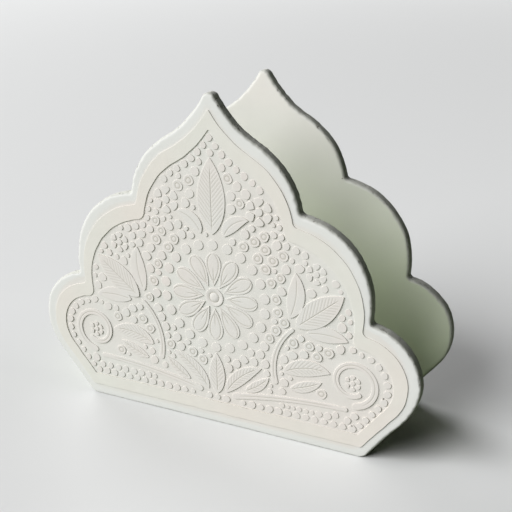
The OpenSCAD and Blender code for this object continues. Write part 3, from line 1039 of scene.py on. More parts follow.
def round_ended(half: float, taper: float, length: float) -> Widths:
    """Shape a strap that tapers evenly and has round ends.

    Args:
        half: Half width at the root.
        taper: Width at the end, as a share.
        length: Its length.

    Returns:
        What gives the half widths.
    """

    def at(parts: np.ndarray) -> np.ndarray:
        """Find the half widths.

        Args:
            parts: Parts of the way along.

        Returns:
            The half widths there.
        """
        width = half * (1.0 - (1.0 - taper) * parts)
        inside = np.clip(1.0 - np.minimum(parts, 1.0 - parts) * length / width, 0.0, 1.0)
        return width * np.sqrt(1.0 - inside ** 2)

    return at


@dataclass(frozen=True)
class Button:
    """A round raised shape: a bead, the heart of a rosette or a pebble."""

    radius: float
    rise: float
    relief: Relief
    ring: float = 0.0  # radius of a cut ring, as a share, or 0 for none
    dome: float = 0.01 * MM  # height of the middle over the edge
    sides: int = 24
    play: float = 0.0  # unevenness of its outline, as a share of the radius
    seed: int = 0
    bevel_most: float = 0.3  # greatest rounding of the edge, as a share of the radius
    # Points over the rounded edge: how far in and down, in bevels, and the painted shade and dust on them.
    edge_profile: tuple[tuple[float, float, float], ...] = (
        (0.0, 1.0, 0.6), (0.3, 0.25, 0.0), (1.0, 0.0, 0.0), (1.8, 0.0, 0.0))
    foot_dust_and_shade: float = 1.0
    ring_width: float = 1.7  # half the ring's width, in a line's half widths
    ring_most: float = 0.2  # the same at most, as a share of the radius
    ring_depth: float = 0.7  # as a share of a line's
    ring_dust_and_shade: float = 0.9
    ring_banks: Point = (0.4, 0.6)  # heights of the ring's outer and inner bank, as shares of the dome's
    heart: float = 0.25  # radius of the flat middle, as a share
    ringed_heart: float = 0.6  # size of that middle inside a ring, as a share of its own
    lobes: tuple[int, ...] = (2, 3, 5)  # numbers of waves round the outline
    swing: Point = (0.5, 1.2)  # range of their depths, as shares of the play
    last_phase: float = 6.3  # of a wave, in radians

    def mesh(self, name: str) -> Mesh:
        """Build the button as a plan's mesh, centred on the origin.

        Args:
            name: Name of the mesh.

        Returns:
            The mesh.
        """
        radius, rise, relief = self.radius, self.rise, self.relief
        bevel = min(relief.bevel, self.bevel_most * radius)
        profile = [(radius + relief.splay, -relief.sink, self.foot_dust_and_shade)]
        profile += [(radius - inwards * bevel, rise - down * bevel, dust_and_shade)
                    for inwards, down, dust_and_shade in self.edge_profile]
        heart = self.heart * radius
        if self.ring:
            middle, width = self.ring * radius, min(self.ring_width * relief.line, self.ring_most * radius)
            outer, inner = (rise + share * self.dome for share in self.ring_banks)
            profile += [(middle + width, outer, 0.0),
                        (middle, rise - self.ring_depth * relief.line_depth, self.ring_dust_and_shade),
                        (middle - width, inner, 0.0)]
            heart *= self.ringed_heart
        profile.append((heart, rise + self.dome, 0.0))
        angles = np.linspace(0.0, 2 * math.pi, self.sides, endpoint=False)
        draw = np.random.default_rng(self.seed)
        shape = np.ones(self.sides)
        for turns in self.lobes:
            depth = self.play / turns * draw.uniform(*self.swing)
            shape += depth * np.cos(turns * angles + draw.uniform(0, self.last_phase))
        rings = [np.column_stack([unit(angles) * (r * shape)[:, None], np.full(self.sides, up)])
                 for r, up, _ in profile]
        dust_and_shade = np.outer([dust_and_shade for _, _, dust_and_shade in profile], np.ones(self.sides))
        return Skin(np.stack(rings), {"groove": dust_and_shade}).mesh(name)


# Geometry Nodes


class Copies:
    """Geometry Nodes that set copies of carved shapes round a ring or on scattered points."""

    LAST_CHOICE = 999  # greatest number drawn to choose a shape

    @classmethod
    def ring(cls, shape: Mesh, count: int, seed: int, radius: float = 0.0, phase: float = 0.0,
             play: float = 0.0) -> Mesh:
        """Set copies of a shape round the origin, each turned to face outwards.

        Args:
            shape: The shape, drawn towards +X, which is removed.
            count: Number of copies.
            seed: Seed of the play.
            radius: Distance of each copy's origin from the middle.
            phase: Angle of the first copy, in radians.
            play: Greatest extra turn of a copy, in radians.

        Returns:
            The copies as one mesh.
        """
        copy = bpy.data.objects.new("shape", shape)
        values = {"Shape": copy, "Count": count, "Radius": radius, "Phase": phase, "Seed": seed, "Play": play}
        mesh = cls._run(cls._ring_tree(), bpy.data.meshes.new("start"), values)
        bpy.data.objects.remove(copy)
        bpy.data.meshes.remove(shape)
        return mesh

    @classmethod
    def scatter(cls, shapes: Sequence[Mesh], places: np.ndarray, seed: int) -> Mesh:
        """Set a copy of one of the shapes at each place, turned by chance.

        Args:
            shapes: Shapes of radius 1 across and of real height, which are removed.
            places: Places and radii, as rows of across, up and radius.
            seed: Seed of the choice and the turns.

        Returns:
            The copies as one mesh.
        """
        points = bpy.data.meshes.new("places")
        points.from_pydata([(x, y, 0.0) for x, y, _ in places.tolist()], [], [])
        points.attributes.new("radius", "FLOAT", "POINT").data.foreach_set(
            "value", places[:, 2].astype(np.float32))
        group = bpy.data.collections.new("shapes")
        copies = [bpy.data.objects.new(f"shape_{i}", shape) for i, shape in enumerate(shapes)]
        for copy in copies:
            group.objects.link(copy)
        mesh = cls._run(cls._scatter_tree(), points, {"Shapes": group, "Seed": seed})
        for copy, shape in zip(copies, shapes):
            bpy.data.objects.remove(copy)
            bpy.data.meshes.remove(shape)
        bpy.data.collections.remove(group)
        return mesh

    @staticmethod
    def _run(tree: NodeTree, start: Mesh, values: dict[str, object]) -> Mesh:
        """Run a tree on a mesh.

        Args:
            tree: The tree.
            start: The mesh, which is removed.
            values: Values of the tree's inputs, by name.

        Returns:
            The result as a plain mesh.
        """
        holder = bpy.data.objects.new("holder", start)
        bpy.context.scene.collection.objects.link(holder)
        modifier = holder.modifiers.new("Copies", "NODES")
        modifier.node_group = tree
        sockets = {s.name: s.identifier for s in tree.interface.items_tree if s.in_out == "INPUT"}
        for name, value in {**values, "Material": RELIEF_CLAY.material()}.items():
            modifier[sockets[name]] = value
        graph = bpy.context.evaluated_depsgraph_get()
        mesh = bpy.data.meshes.new_from_object(holder.evaluated_get(graph), depsgraph=graph)
        holder.modifiers.remove(modifier)
        bpy.data.objects.remove(holder)
        bpy.data.meshes.remove(start)
        return mesh

    @staticmethod
    def _start(name: str, inputs: Iterable[Label]) -> Opened:
        """Start a tree with the given inputs, a material and a geometry output."""
        sockets = [("Geometry", "Geometry"), *inputs, ("Material", "Material")]
        return Net.group("GeometryNodeTree", name, sockets, ("Geometry", "Geometry"))

    @staticmethod
    def _end(net: Net, sink: Node, material: Socket, feeds: Feeds) -> NodeTree:
        """End a tree: copies on points, made real, then their material.

        Args:
            net: The net of the tree.
            sink: Its output node.
            material: The material.
            feeds: Sockets or values for the node that sets the copies.

        Returns:
            The tree.
        """
        copies = net.node("GeometryNodeInstanceOnPoints", feeds).outputs["Instances"]
        real = net.node("GeometryNodeRealizeInstances", {"Geometry": copies}).outputs["Geometry"]
        painted = net.node("GeometryNodeSetMaterial", {"Geometry": real, "Material": material})
        net.feed(sink, {"Geometry": painted.outputs["Geometry"]})
        return net.tree

    @classmethod
    @cache
    def _ring_tree(cls) -> NodeTree:
        """Build the tree that sets copies of one shape round a ring.

        Returns:
            The tree.
        """
        net, given, sink = cls._start("Ring_Of_Copies", [
            ("Shape", "Object"), ("Count", "Int"), ("Radius", "Float"), ("Phase", "Float"), ("Seed", "Int"),
            ("Play", "Float")])
        share = net.math("DIVIDE", net.node("GeometryNodeInputIndex").outputs["Index"], given["Count"])
        angle = net.math("MULTIPLY_ADD", share, 2 * math.pi, given["Phase"])
        across, upwards = (net.math("MULTIPLY", net.math(wave, angle), given["Radius"])
                           for wave in ("COSINE", "SINE"))
        place = net.node("ShaderNodeCombineXYZ", {"X": across, "Y": upwards}).outputs[0]
        points = net.node("GeometryNodePoints", {"Count": given["Count"], "Position": place})
        chance = net.node("FunctionNodeRandomValue", {RANDOM_LEAST: -1.0, "Seed": given["Seed"]},
                          data_type="FLOAT").outputs[RANDOM_VALUE]
        extra = net.math("MULTIPLY_ADD", chance, given["Play"], angle)
        turn = net.node("ShaderNodeCombineXYZ", {"Z": extra}).outputs[0]
        shape = net.node("GeometryNodeObjectInfo", {"Object": given["Shape"]}).outputs["Geometry"]
        return cls._end(net, sink, given["Material"],
                        {"Points": points.outputs[0], "Instance": shape, "Rotation": turn})

    @classmethod
    @cache
    def _scatter_tree(cls) -> NodeTree:
        """Build the tree that sets one of several shapes on each point of a mesh.

        Returns:
            The tree.
        """
        net, given, sink = cls._start("Scattered_Copies", [("Shapes", "Collection"), ("Seed", "Int")])
        shapes = net.node("GeometryNodeCollectionInfo",
                          {"Separate Children": True, "Collection": given["Shapes"]}).outputs["Instances"]
        choice = net.node("FunctionNodeRandomValue",
                          {RANDOM_LAST: cls.LAST_CHOICE, "Seed": given["Seed"]},
                          data_type="INT").outputs[RANDOM_CHOICE]
        next_seed = net.math("ADD", given["Seed"], 1.0)
        angle = net.node("FunctionNodeRandomValue", {RANDOM_MOST: 2 * math.pi, "Seed": next_seed},
                         data_type="FLOAT").outputs[RANDOM_VALUE]
        turn = net.node("ShaderNodeCombineXYZ", {"Z": angle}).outputs[0]
        radius = net.node("GeometryNodeInputNamedAttribute", {"Name": "radius"},
                          data_type="FLOAT").outputs["Attribute"]
        size = net.node("ShaderNodeCombineXYZ", {"X": radius, "Y": radius, "Z": 1.0}).outputs[0]
        return cls._end(net, sink, given["Material"], {
            "Pick Instance": True, "Points": given["Geometry"], "Instance": shapes,
            "Instance Index": choice, "Rotation": turn, "Scale": size})


@dataclass(frozen=True)
class Ornament:
    """The low relief of one face: rosette, collar, bud, small rosettes, tulips, leaves, stems and scrolls.

    Rows of shapes give across, up, heading, length, half width and turn. Sizes and places are shares of half
    the panel's width, heights are shares of its height, and headings and turns are in degrees.
    """

    outline: LobedOutline
    relief: Relief
    groove: float = 0.6 * MM  # least gap between petals
    low_dome: float = 0.04 * MM  # of beads and small hearts
    low_sides: int = 20  # of the same
    rosette_up: float = 0.415
    rosette_r: float = 0.222
    hollow_r: float = 0.058  # inside the petals of the large rosette
    eye_r: float = 0.046
    eye_dome: float = 0.12 * MM
    eye_ring: float = 0.55  # radius of its cut ring, as a share
    eye_sides: int = 64
    eye_play: float = 0.02  # unevenness of its outline, as a share
    petals: int = 12
    petal_turn: float = 0.006  # greatest extra turn of one about the middle, in radians
    collar_r: float = 0.262
    bead_r: float = 0.0245
    beads: int = 22
    bead_play: float = 0.03
    bead_turn: float = 1.5  # greatest turn of one about itself, in radians
    petal_powers: Point = (1.0, 0.5)
    leaf_powers: Point = (0.75, 0.9)
    petal_widest: float = 2 / 3  # of the way from root to tip
    bud_gap: float = 0.027
    bud_length: float = 0.556  # as a share of the way from its root to the panel's tip
    bud_wide: float = 0.07
    sepal: tuple[float, ...] = (0.06, -0.003, 72, 0.165, 0.032, -70)  # with its root from the bud's
    middle_leaf: Point = (0.102, 0.042)  # its root and half width
    tulips: tuple[tuple[float, ...], ...] = (
        (0.384, 0.395, 66, 0.23, 0.042, 34), (0.466, 0.357, 14, 0.2, 0.038, -30),
        (0.418, 0.372, 40, 0.29, 0.062, 0))
    tulip_lifts: tuple[float, ...] = (0.0, 0.0, 0.16 * MM)
    leaves: tuple[tuple[float, ...], ...] = (
        (0.048, 0.112, 62, 0.26, 0.036, -40), (0.15, 0.131, 26, 0.16, 0.026, 24),
        (0.352, 0.222, 32, 0.24, 0.042, -44), (0.385, 0.172, 16, 0.17, 0.028, 14))
    stems: tuple[tuple[float, ...], ...] = (
        (0.082, 0.104, 13, 0.592, 0.0165, -13), (0.312, 0.177, 106, 0.335, 0.014, -65))
    stem_taper: float = 0.65
    scroll: tuple[float, ...] = (0.69, 0.232, 0.118, 0.062, 0.017)  # across, up, radii and half width
    scroll_turn: float = 400.0
    scroll_taper: float = 0.7
    floret_r: tuple[float, ...] = (0.066, 0.05, 0.039)
    upper_floret: Point = (0.236, 0.138)  # across, and up from the bud's root
    middle_floret: Point = (0.51, 0.537)
    floret_petals: int = 6
    floret_turn: float = 0.03  # greatest extra turn of a petal about the middle, in radians
    floret_heart: float = 0.28  # as a share of its radius
    ringed_from: float = 2.0 * MM  # radius of the least pebble with a ring
    ringed_seeds: tuple[int, ...] = (1, 2, 3)  # of the outlines of pebbles with a ring
    plain_seeds: tuple[int, ...] = (4, 5, 6, 7, 8)  # of the others'
    pebble_ring: float = 0.5  # radius of the cut ring, as a share
    pebble_r: float = 1.6 * MM  # at which a pebble is drawn
    pebble_fit: float = 0.98  # its share of the place that the frame gives
    pebble_sides: int = 16
    pebble_play: float = 0.12
    # Steps from a side's seed to those of its beads and of its two kinds of pebbles.
    bead_step: int = 5
    ringed_step: int = 6
    plain_step: int = 7
    weld: float = 0.01 * MM  # distance within which points of the frame are one

    @property
    def half(self) -> float:
        """Half the panel's width, which most shares follow."""
        return self.outline.width / 2

    @property
    def centre(self) -> Point:
        """Middle of the large rosette."""
        return (0.0, self.rosette_up * self.outline.height)

    @property
    def reach(self) -> float:
        """Radius of the collar round the large rosette, with its beads."""
        return (self.collar_r + self.bead_r) * self.half

    @property
    def bud_root(self) -> float:
        """Height of the bud's root."""
        return self.centre[1] + self.reach + self.bud_gap * self.half

    def at(self, shares: Sequence[float]) -> Point:
        """Return the place that two shares give."""
        return (shares[0] * self.half, shares[1] * self.outline.height)

    def leaf(self, row: Sequence[float], carving: Carving = Carving.VEINED, lift: float = 0.0,
             root: Point | None = None) -> Mesh:
        """Build one leaf.

        Args:
            row: Its shares, as the class says.
            carving: The lines cut into it.
            lift: Extra height.
            root: Its root, where the row's first two shares don't give it.

        Returns:
            Its mesh.
        """
        _, _, heading, long, wide, turn = row
        length, half = long * self.half, wide * self.half
        path, widths = arc_path(root or self.at(row), heading, length, turn), swell(half, self.leaf_powers)
        return Strip(path, length, widths, half, carving, self.relief, lift).mesh("leaf")

    def rosette(self, side: Side) -> Mesh:
        """Build the petals of the large rosette.

        Args:
            side: The side.

        Returns:
            The mesh.
        """
        root, tip = self.hollow_r * self.half, self.rosette_r * self.half
        petal = self._petal(root, tip, self.petals, Carving.RIMMED)
        ring = Copies.ring(petal, self.petals, side.seed, phase=math.pi / 2, play=self.petal_turn)
        return moved(ring, self.centre)

    def rosette_eye(self, side: Side) -> Mesh:
        """Build the domed eye of the large rosette.

        Args:
            side: The side.

        Returns:
            The mesh.
        """
        eye = Button(self.eye_r * self.half, self.relief.band_rise, self.relief, self.eye_ring, self.eye_dome,
                     self.eye_sides, self.eye_play, side.seed)
        return moved(eye.mesh("eye"), self.centre)

    def collar_beads(self, side: Side) -> Mesh:
        """Build the beads of the collar, each turned by chance.

        Args:
            side: The side.

        Returns:
            The mesh.
        """
        bead = Button(self.bead_r * self.half, self.relief.rise, self.relief, dome=self.low_dome,
                      sides=self.low_sides, play=self.bead_play, seed=side.seed + self.bead_step)
        ring = Copies.ring(bead.mesh("bead"), self.beads, side.seed, self.collar_r * self.half,
                           phase=math.pi / self.beads, play=self.bead_turn)
        return moved(ring, self.centre)

    def bud(self, side: Side) -> Mesh:
        """Build the bud and the leaf on each side of it.

        Args:
            side: The side.

        Returns:
            The mesh.
        """
        length = self.bud_length * (self.outline.height - self.bud_root) / self.half
        middle = self.leaf((0, 0, UP, length, self.bud_wide, 0), root=(0.0, self.bud_root))
        root = (self.sepal[0] * self.half, self.bud_root + self.sepal[1] * self.half)
        return joined(f"{side.value}_bud",
                      [middle, *both_halves([self.leaf(self.sepal, Carving.GROOVED, root=root)])])

    def florets(self, side: Side) -> Mesh:
        """Build the small rosettes of both halves.

        Args:
            side: The side.

        Returns:
            The mesh.
        """
        upper = (self.upper_floret[0] * self.half, self.bud_root + self.upper_floret[1] * self.half)
        parts = []
        for place, share in zip([upper, self.at(self.middle_floret), self.at(self.scroll)], self.floret_r):
            radius = share * self.half
            heart = self.floret_heart * radius
            petal = self._petal(heart + self.groove, radius, self.floret_petals, Carving.PLAIN)
            ring = Copies.ring(petal, self.floret_petals, side.seed, phase=math.pi / 2,
                               play=self.floret_turn)
            button = Button(heart, self.relief.rise, self.relief, dome=self.low_dome, sides=self.low_sides)
            parts += [moved(ring, place), moved(button.mesh("heart"), place)]
        return joined(f"{side.value}_florets", both_halves(parts))

    def tulip_petals(self, side: Side) -> Mesh:
        """Build the tulips of both halves, with the middle petal over the others.

        Args:
            side: The side.

        Returns:
            The mesh.
        """
        petals = [self.leaf(row, Carving.VEINED if lift else Carving.GROOVED, lift)
                  for row, lift in zip(self.tulips, self.tulip_lifts)]
        return joined(f"{side.value}_tulips", both_halves(petals))

    def leaf_fan(self, side: Side) -> Mesh:
        """Build the leaves of both halves and the middle leaf, which reaches up to the collar.

        Args:
            side: The side.

        Returns:
            The mesh.
        """
        root = (0.0, self.middle_leaf[0] * self.outline.height)
        length = (self.centre[1] - self.reach - self.groove - root[1]) / self.half
        middle = self.leaf((0, 0, UP, length, self.middle_leaf[1], 0), root=root)
        return joined(f"{side.value}_leaves", [middle, *both_halves([self.leaf(row) for row in self.leaves])])

    def stem_straps(self, side: Side) -> Mesh:
        """Build the stems of both halves.

        Args:
            side: The side.

        Returns:
            The mesh.
        """
        straps = []
        for across, up, heading, long, wide, turn in self.stems:
            length = long * self.half
            path = arc_path(self.at((across, up)), heading, length, turn)
            straps.append(self._strap(path, length, wide * self.half, self.stem_taper))
        return joined(f"{side.value}_stems", both_halves(straps))

    def scroll_straps(self, side: Side) -> Mesh:
        """Build the spiral scrolls of both halves.

        Args:
            side: The side.

        Returns:
            The mesh.
        """
        centre = np.array(self.at(self.scroll))
        first, last, half = (share * self.half for share in self.scroll[2:])
        turn = math.radians(self.scroll_turn)

        def path(parts: np.ndarray) -> tuple[np.ndarray, np.ndarray]:
            """Return the points and headings at parts of the way along."""
            angles = turn * parts - math.pi / 2
            return centre + (first + (last - first) * parts)[:, None] * unit(angles), angles + math.pi / 2

        strap = self._strap(path, turn * (first + last) / 2, half, self.scroll_taper)
        return joined(f"{side.value}_scrolls", both_halves([strap]))

    def pebbles(self, side: Side, placing: Matrix) -> Mesh:
        """Build the pebble ground, with a pebble at each place that the frame gives.

        Args:
            side: The side of the holder.
            placing: The side's placing, which takes the frame's places back to the plan.

        Returns:
            The mesh.
        """
        places = self._pebble_places(f"{side.value}_pebbles", placing.inverted())
        large = places[:, 2] > self.ringed_from
        ringed = [self._pebble(seed, self.pebble_ring) for seed in self.ringed_seeds]
        plain = [self._pebble(seed) for seed in self.plain_seeds]
        return joined(f"{side.value}_pebbles", [
            Copies.scatter(ringed, places[large], side.seed + self.ringed_step),
            Copies.scatter(plain, places[~large], side.seed + self.plain_step)])

    def _pebble(self, seed: int, ring: float = 0.0) -> Mesh:
        """Draw a pebble.

        Args:
            seed: Seed of its outline.
            ring: Radius of a cut ring, as a share, or 0 for none.

        Returns:
            Its mesh, of about radius 1 across and of real height.
        """
        pebble = Button(self.pebble_r, self.relief.rise, self.relief, ring, sides=self.pebble_sides,
                        play=self.pebble_play, seed=seed)
        mesh = pebble.mesh("pebble")
        scale = self.pebble_fit / self.pebble_r
        mesh.transform(Matrix.Diagonal((scale, scale, 1.0, 1.0)))
        return mesh

    def _pebble_places(self, node: str, to_plan: Matrix) -> np.ndarray:
        """Find the separate solids of a node of the frame.

        Args:
            node: Name of the node.
            to_plan: Matrix that takes the frame's places to the plan.

        Returns:
            Across, up and radius of each solid, as rows in order.
        """
        low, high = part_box(node)
        work = bmesh.new()
        work.from_mesh(bpy.data.objects[node].data)
        bmesh.ops.remove_doubles(work, verts=work.verts, dist=self.weld)
        work.transform(to_plan)
        seen, rows = set(), []
        for start in work.verts:
            if start in seen:
                continue
            group, edge = [], [start]
            seen.add(start)
            while edge:
                vert = edge.pop()
                group.append(vert.co.copy())
                fresh = {e.other_vert(vert) for e in vert.link_edges} - seen
                seen |= fresh
                edge += fresh
            xs, ys = [co.x for co in group], [co.y for co in group]
            rows.append(((max(xs) + min(xs)) / 2, (max(ys) + min(ys)) / 2, (max(xs) - min(xs)) / 2))
        work.free()
        LOG.info("%s: %d places within %.0f mm", node, len(rows), (high - low).length / MM)
        return np.array(sorted(rows))

    def _petal(self, root: float, tip: float, count: int, carving: Carving) -> Mesh:
        """Build one petal of a ring of petals, towards +X.

        Args:
            root: Distance of its root from the middle.
            tip: Distance of its tip.
            count: Number of petals in the ring.
            carving: The lines cut into it.

        Returns:
            Its mesh.
        """
        widest = root + self.petal_widest * (tip - root)
        half = widest * math.sin(math.pi / count) - self.groove / 2
        path, widths = arc_path((root, 0.0), 0.0, tip - root, 0.0), swell(half, self.petal_powers)
        return Strip(path, tip - root, widths, half, carving, self.relief).mesh("petal")

    def _strap(self, path: Path, length: float, half: float, taper: float) -> Mesh:
        """Return a grooved strap with round ends along a path."""
        widths = round_ended(half, taper, length)
        return Strip(path, length, widths, half, Carving.GROOVED, self.relief).mesh("strap")


@dataclass(frozen=True)
class Base:
    """The slab between the panels and the coils smoothed into its corners."""

    outline: LobedOutline  # of the panels, whose slanting sides the slab's ends follow
    gap: float  # clear gap between the panels
    thickness: float = 6 * MM
    end_inset: float = 3 * MM  # of its ends inside the foot's sides
    corner_r: float = 1.6 * MM  # of its long end edges
    corner_steps: int = 7
    spacing: float = 1.6 * MM  # between points along its sides
    clear: float = 0.05 * MM  # under it
    sag: HandPlay = HandPlay(5, 0.12 * MM, 22 * MM)  # of its top
    stations: int = 26  # rings from panel to panel
    bite: float = 0.4 * MM  # depth that slab and coils reach into the panels
    sharp: float = 60.0  # angle past which an edge is sharp, in degrees
    coil_r: float = 5 * MM  # of a coil's hollow face
    coil_lip: float = 0.8 * MM  # thickness of a coil where it starts to run out
    feather: float = 1.6 * MM  # distance over which it runs out
    feather_knee: Point = (0.35, 0.4)  # where it bends: part of the feather, and share of the lip left
    feather_end: float = 0.4  # depth of its end in the clay, as a share of the bite
    coil_inset: float = 4 * MM  # of a coil's ends inside the slab's
    coil_end: float = 0.15  # size of a coil at its ends, as a share
    coil_play: Play = (8, 0.06, 8 * MM)
    coil_stations: int = 170
    coil_steps: int = 13

    def end_x(self, height: float) -> float:
        """Return the distance across to the slab's end at a height."""
        return self.outline.foot_x(height) - self.end_inset / math.cos(math.radians(self.outline.slant))

    def slab(self) -> Mesh:
        """Build the slab, drawn from end to end and lofted from panel to panel.

        Returns:
            Its mesh, in place.
        """
        low, high = self.end_x(0.0), self.end_x(self.thickness)
        section = self._rounded(np.array([(low, self.clear), (high, self.thickness), (-high, self.thickness),
                                          (-low, self.clear)]))
        x, z = section.T
        upper = smooth_step(z, 0.5 * self.thickness, self.thickness)
        reach = self.gap / 2 + self.bite
        rings = [np.column_stack([x, y, z + self.sag.at(x, y) * upper])
                 for y in (np.full(len(x), place) for place in np.linspace(-reach, reach, self.stations))]
        return Skin(np.stack(rings)).mesh("base_slab", self.sharp)

    def coil(self, side: Side) -> Mesh:
        """Build the coil smoothed into the corner by one panel.

        Args:
            side: The side of the panel.

        Returns:
            Its mesh, in place.
        """
        half = self.end_x(self.thickness) - self.coil_inset
        run = np.linspace(-half, half, self.coil_stations)
        reach, bite = self.coil_r + self.coil_lip, self.bite
        ends = 1.0 - np.clip(1.0 - (half - np.abs(run)) / (2 * reach), 0, 1) ** 2
        sizes = np.maximum(self.coil_end, np.sqrt(np.clip(ends, 0.0, 1.0)))
        sizes = sizes * (1.0 + side.play(self.coil_play).at(run, run * 0.0))
        hollow = reach + self.coil_r * unit(np.linspace(math.pi, 1.5 * math.pi, self.coil_steps))
        part, left = self.feather_knee
        thin, long = left * self.coil_lip, reach + part * self.feather
        deep, far = -self.feather_end * bite, reach + self.feather
        face = np.vstack([[deep, far], [thin, long], hollow, [long, thin], [far, deep], [far, -bite],
                          [-bite, -bite], [-bite, far]])
        sign = -1.0 if side is Side.FRONT else 1.0
        rings = []
        for x, size in zip(run, sizes):
            out, up = np.where(face > 0, face * size, face).T
            rings.append(np.column_stack([np.full(len(out), x), sign * (self.gap / 2 - out),
                                          self.thickness + up]))
        return Skin(np.stack(rings)).mesh(f"{side.value}_coil", self.sharp)

    def _rounded(self, corners: np.ndarray) -> np.ndarray:
        """Round the corners of a closed outline.

        Args:
            corners: The corners.

        Returns:
            The outline's points.
        """
        points: list[np.ndarray] = []
        for before, here, after in zip(np.roll(corners, 1, 0), corners, np.roll(corners, -1, 0)):
            side = np.linalg.norm(after - here)
            forth = (after - here) / side
            start = here + (before - here) / np.linalg.norm(before - here) * self.corner_r
            end = here + forth * self.corner_r
            points += [(1 - t) ** 2 * start + 2 * t * (1 - t) * here + t ** 2 * end
                       for t in np.linspace(0.0, 1.0, self.corner_steps)]
            reach = side - 2 * self.corner_r
            inner = np.linspace(0.0, 1.0, max(2, round(reach / self.spacing)))[1:-1]
            points += [here + forth * (self.corner_r + reach * part) for part in inner]
        return np.array(points)


# Studio


@dataclass(frozen=True)
class Lamp:
    """A broad, even studio lamp that stands far off."""

    name: str
    azimuth: float  # as seen from the object, in degrees from the front, as is the elevation
    elevation: float
    spread: float  # how broad it looks from the object, in degrees
    strength: float  # in watts per square metre

    def hang(self) -> None:
        """Hang the lamp and point it at the object."""
        light = bpy.data.lights.new(self.name, "SUN")
        light.angle = math.radians(self.spread)
        light.energy = self.strength
        turn, rise = math.radians(self.azimuth), math.radians(self.elevation)
        way = Vector((math.sin(turn) * math.cos(rise), -math.cos(turn) * math.cos(rise), math.sin(rise)))
        lamp = bpy.data.objects.new(self.name, light)
        lamp.location = way
        lamp.rotation_euler = way.to_track_quat("Z", "Y").to_euler()
        bpy.context.scene.collection.objects.link(lamp)
        LOG.info("lamp %s: %.2f W/m2", self.name, self.strength)


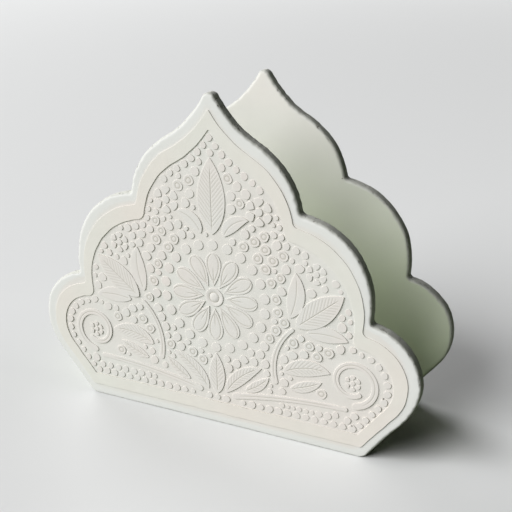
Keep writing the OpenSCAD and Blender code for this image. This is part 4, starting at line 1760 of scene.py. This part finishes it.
@dataclass(frozen=True)
class Studio:
    """Floor, lamps, surroundings and camera."""

    camera_at: tuple[float, float, float] = (154.76 * MM, -309.55 * MM, 205.04 * MM)
    looks_at: tuple[float, float, float] = (5.8 * MM, 0.0, 66.65 * MM)
    roll: float = -0.99  # of the camera about its view, in degrees
    lens: float = 62.6  # focal length in mm
    sensor: float = 36.0  # width in mm
    clip: Point = (0.01, 50.0)
    floor_colour: Rgb = (233, 234, 234)
    # Painted shade and light on the floor: across, away, inner and outer radius, and how much (less than 0 is
    # paler).
    painted_floor_shading: tuple[tuple[float, float, float, float, float], ...] = (
        (-70 * MM, -90 * MM, 20 * MM, 160 * MM, 0.17), (300 * MM, 900 * MM, 100 * MM, 1900 * MM, 0.2),
        # The patch at 72 mm across is a painted shadow under the right end of the foot.
        (60 * MM, -100 * MM, 20 * MM, 300 * MM, -0.1), (72 * MM, -5 * MM, 2 * MM, 27 * MM, 0.6),
        (116 * MM, -10 * MM, 4 * MM, 42 * MM, -0.08))
    # Colour of the floor in the light that it throws back on the object, linear.
    floor_bounce: tuple[float, float, float, float] = (0.12, 0.15, 0.09, 1.0)
    floor_r: float = 6.0
    floor_sides: int = 96
    floor_roughness: float = 0.95
    floor_gloss: float = 0.1
    backdrop: Rgb = (218, 218, 218)  # what the camera sees past the floor
    lamps: tuple[Lamp, ...] = (
        Lamp("Key", azimuth=-37, elevation=33, spread=50, strength=3.6),
        Lamp("Side", azimuth=-70, elevation=20, spread=28, strength=1.0),
        Lamp("Back", azimuth=-122, elevation=22, spread=30, strength=2.1),
    )

    def build(self) -> None:
        """Build the studio and set the view."""
        self._floor()
        self._surroundings()
        self._camera()
        for lamp in self.lamps:
            lamp.hang()
        bpy.context.scene.view_settings.view_transform = "Standard"

    def _floor(self) -> None:
        """Lay the floor of paper, with painted shade and light in patches."""
        mesh = bpy.data.meshes.new("Floor")
        rim = unit(np.linspace(0.0, 2 * math.pi, self.floor_sides, endpoint=False)) * self.floor_r
        mesh.from_pydata([(x, y, 0.0) for x, y in rim.tolist()], [], [tuple(range(self.floor_sides))])
        material = bpy.data.materials.new("Floor_Paper")
        material.use_nodes = True
        net = Net(material.node_tree)
        net.feed(material.node_tree.nodes["Principled BSDF"], {
            "Base Color": net.mix(self._seen(net), self.floor_bounce, self._paper(net)),
            "Roughness": self.floor_roughness, "Specular IOR Level": self.floor_gloss})
        mesh.materials.append(material)
        floor = bpy.data.objects.new("Floor", mesh)
        bpy.context.scene.collection.objects.link(floor)
        floor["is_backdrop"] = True

    def _paper(self, net: Net) -> Socket:
        """Colour the floor, with its patches of painted shade and light.

        Args:
            net: The net of its material.

        Returns:
            The colour.
        """
        place = net.node("ShaderNodeTexCoord").outputs["Object"]
        shade = net.node("ShaderNodeRGB").outputs[0]
        shade.default_value = linear(self.floor_colour)
        for x, y, inner, outer, depth in self.painted_floor_shading:
            away = net.node("ShaderNodeVectorMath", {0: place, 1: (x, y, 0.0)}, operation="DISTANCE")
            span = {"Value": away.outputs["Value"], "From Min": inner, "From Max": outer,
                    "To Min": 1.0 - depth}
            step = net.node("ShaderNodeMapRange", span, interpolation_type="SMOOTHSTEP").outputs["Result"]
            shade = net.node("ShaderNodeVectorMath", {0: shade, "Scale": step}, operation="SCALE").outputs[0]
        return shade

    def _surroundings(self) -> None:
        """Set the backdrop, which sheds no light on the object."""
        world = bpy.data.worlds.new("Studio_World")
        bpy.context.scene.world = world
        world.use_nodes = True
        net, nodes = Net(world.node_tree), world.node_tree.nodes
        net.feed(nodes["Background"], {"Strength": 0.0})
        shown = net.node("ShaderNodeBackground", {"Color": linear(self.backdrop)}).outputs[0]
        mixed = net.node("ShaderNodeMixShader",
                         {"Fac": self._seen(net), 1: nodes["Background"].outputs[0], 2: shown})
        net.feed(nodes["World Output"], {"Surface": mixed.outputs[0]})

    @staticmethod
    def _seen(net: Net) -> Socket:
        """Find the rays that show the surroundings: from the camera, or by way of gloss or glass.

        Args:
            net: The net that needs them.

        Returns:
            1 for such a ray.
        """
        rays = net.node("ShaderNodeLightPath").outputs
        either = net.math("MAXIMUM", rays["Is Camera Ray"], rays["Is Glossy Ray"])
        return net.math("MAXIMUM", either, rays["Is Transmission Ray"])

    def _camera(self) -> None:
        """Set the camera."""
        data = bpy.data.cameras.new("Camera")
        data.lens, data.sensor_width = self.lens, self.sensor
        data.clip_start, data.clip_end = self.clip
        place = Vector(self.camera_at)
        forward = (Vector(self.looks_at) - place).normalized()
        right = forward.cross(Vector((0, 0, 1))).normalized()
        up = right.cross(forward)
        cos, sin = math.cos(math.radians(self.roll)), math.sin(math.radians(self.roll))
        turn = Matrix((right * cos + up * sin, -right * sin + up * cos, -forward)).transposed().to_4x4()
        camera = bpy.data.objects.new("Camera", data)
        camera.matrix_world = Matrix.Translation(place) @ turn
        bpy.context.scene.collection.objects.link(camera)
        bpy.context.scene.camera = camera


@dataclass(frozen=True)
class NapkinHolder:
    """The whole holder: two panels on a base, each with a border band and low relief on its outer face."""

    outline: LobedOutline = LobedOutline()
    relief: Relief = Relief()
    gap: float = 43 * MM  # clear gap between the panels

    def build(self) -> None:
        """Build and dress every piece."""
        base = Base(self.outline, self.gap)
        dress(base.slab(), "Base_Slab", BASE_CLAY, "base_clay", "base_slab")
        for side in Side:
            name = side.value
            dress(base.coil(side), f"{name}_coil_piece", BASE_CLAY, "base_clay", f"{name}_joint_coil")
            self._side(side)

    def _side(self, side: Side) -> None:
        """Build the panel of one side and what it carries.

        Args:
            side: The side.
        """
        panel = Panel(self.outline)
        band = BorderBand(self.outline, self.relief)
        work = Ornament(self.outline, self.relief)
        placing = side.placing(self.gap / 2 + panel.thickness)
        ornament = {
            "rosette": work.rosette, "rosette_eye": work.rosette_eye, "collar_beads": work.collar_beads,
            "bud": work.bud, "florets": work.florets, "tulips": work.tulip_petals, "leaves": work.leaf_fan,
            "stems": work.stem_straps, "scrolls": work.scroll_straps,
            "pebbles": partial(work.pebbles, placing=placing)}
        plan = [("front_panel" if side is Side.FRONT else "back_panel", panel.mesh, PANEL_CLAY, "panel_clay"),
                (f"{side.value}_border_band", band.mesh, BAND_CLAY, "band_clay")]
        plan += [(f"{side.value}_{kind}", make, RELIEF_CLAY, "ornament_clay")
                 for kind, make in ornament.items()]
        for node, make, finish, slot in plan:
            mesh = make(side)
            mesh.transform(placing)
            dress(mesh, f"{node}_piece", finish, slot, node)


def corners(bounds: Sequence[Vector]) -> list[list[float]]:
    """Return bounds as plain lists of numbers."""
    return [[float(value) for value in corner] for corner in bounds]


def main() -> None:
    """Load the frame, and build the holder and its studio."""
    logging.basicConfig(level=logging.INFO, format="%(name)s: %(message)s")
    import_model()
    frame_box = corners(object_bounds())
    Studio().build()
    NapkinHolder().build()
    {"cad": frame_box, "visual": corners(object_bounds())}


if __name__ == "__main__":
    main()
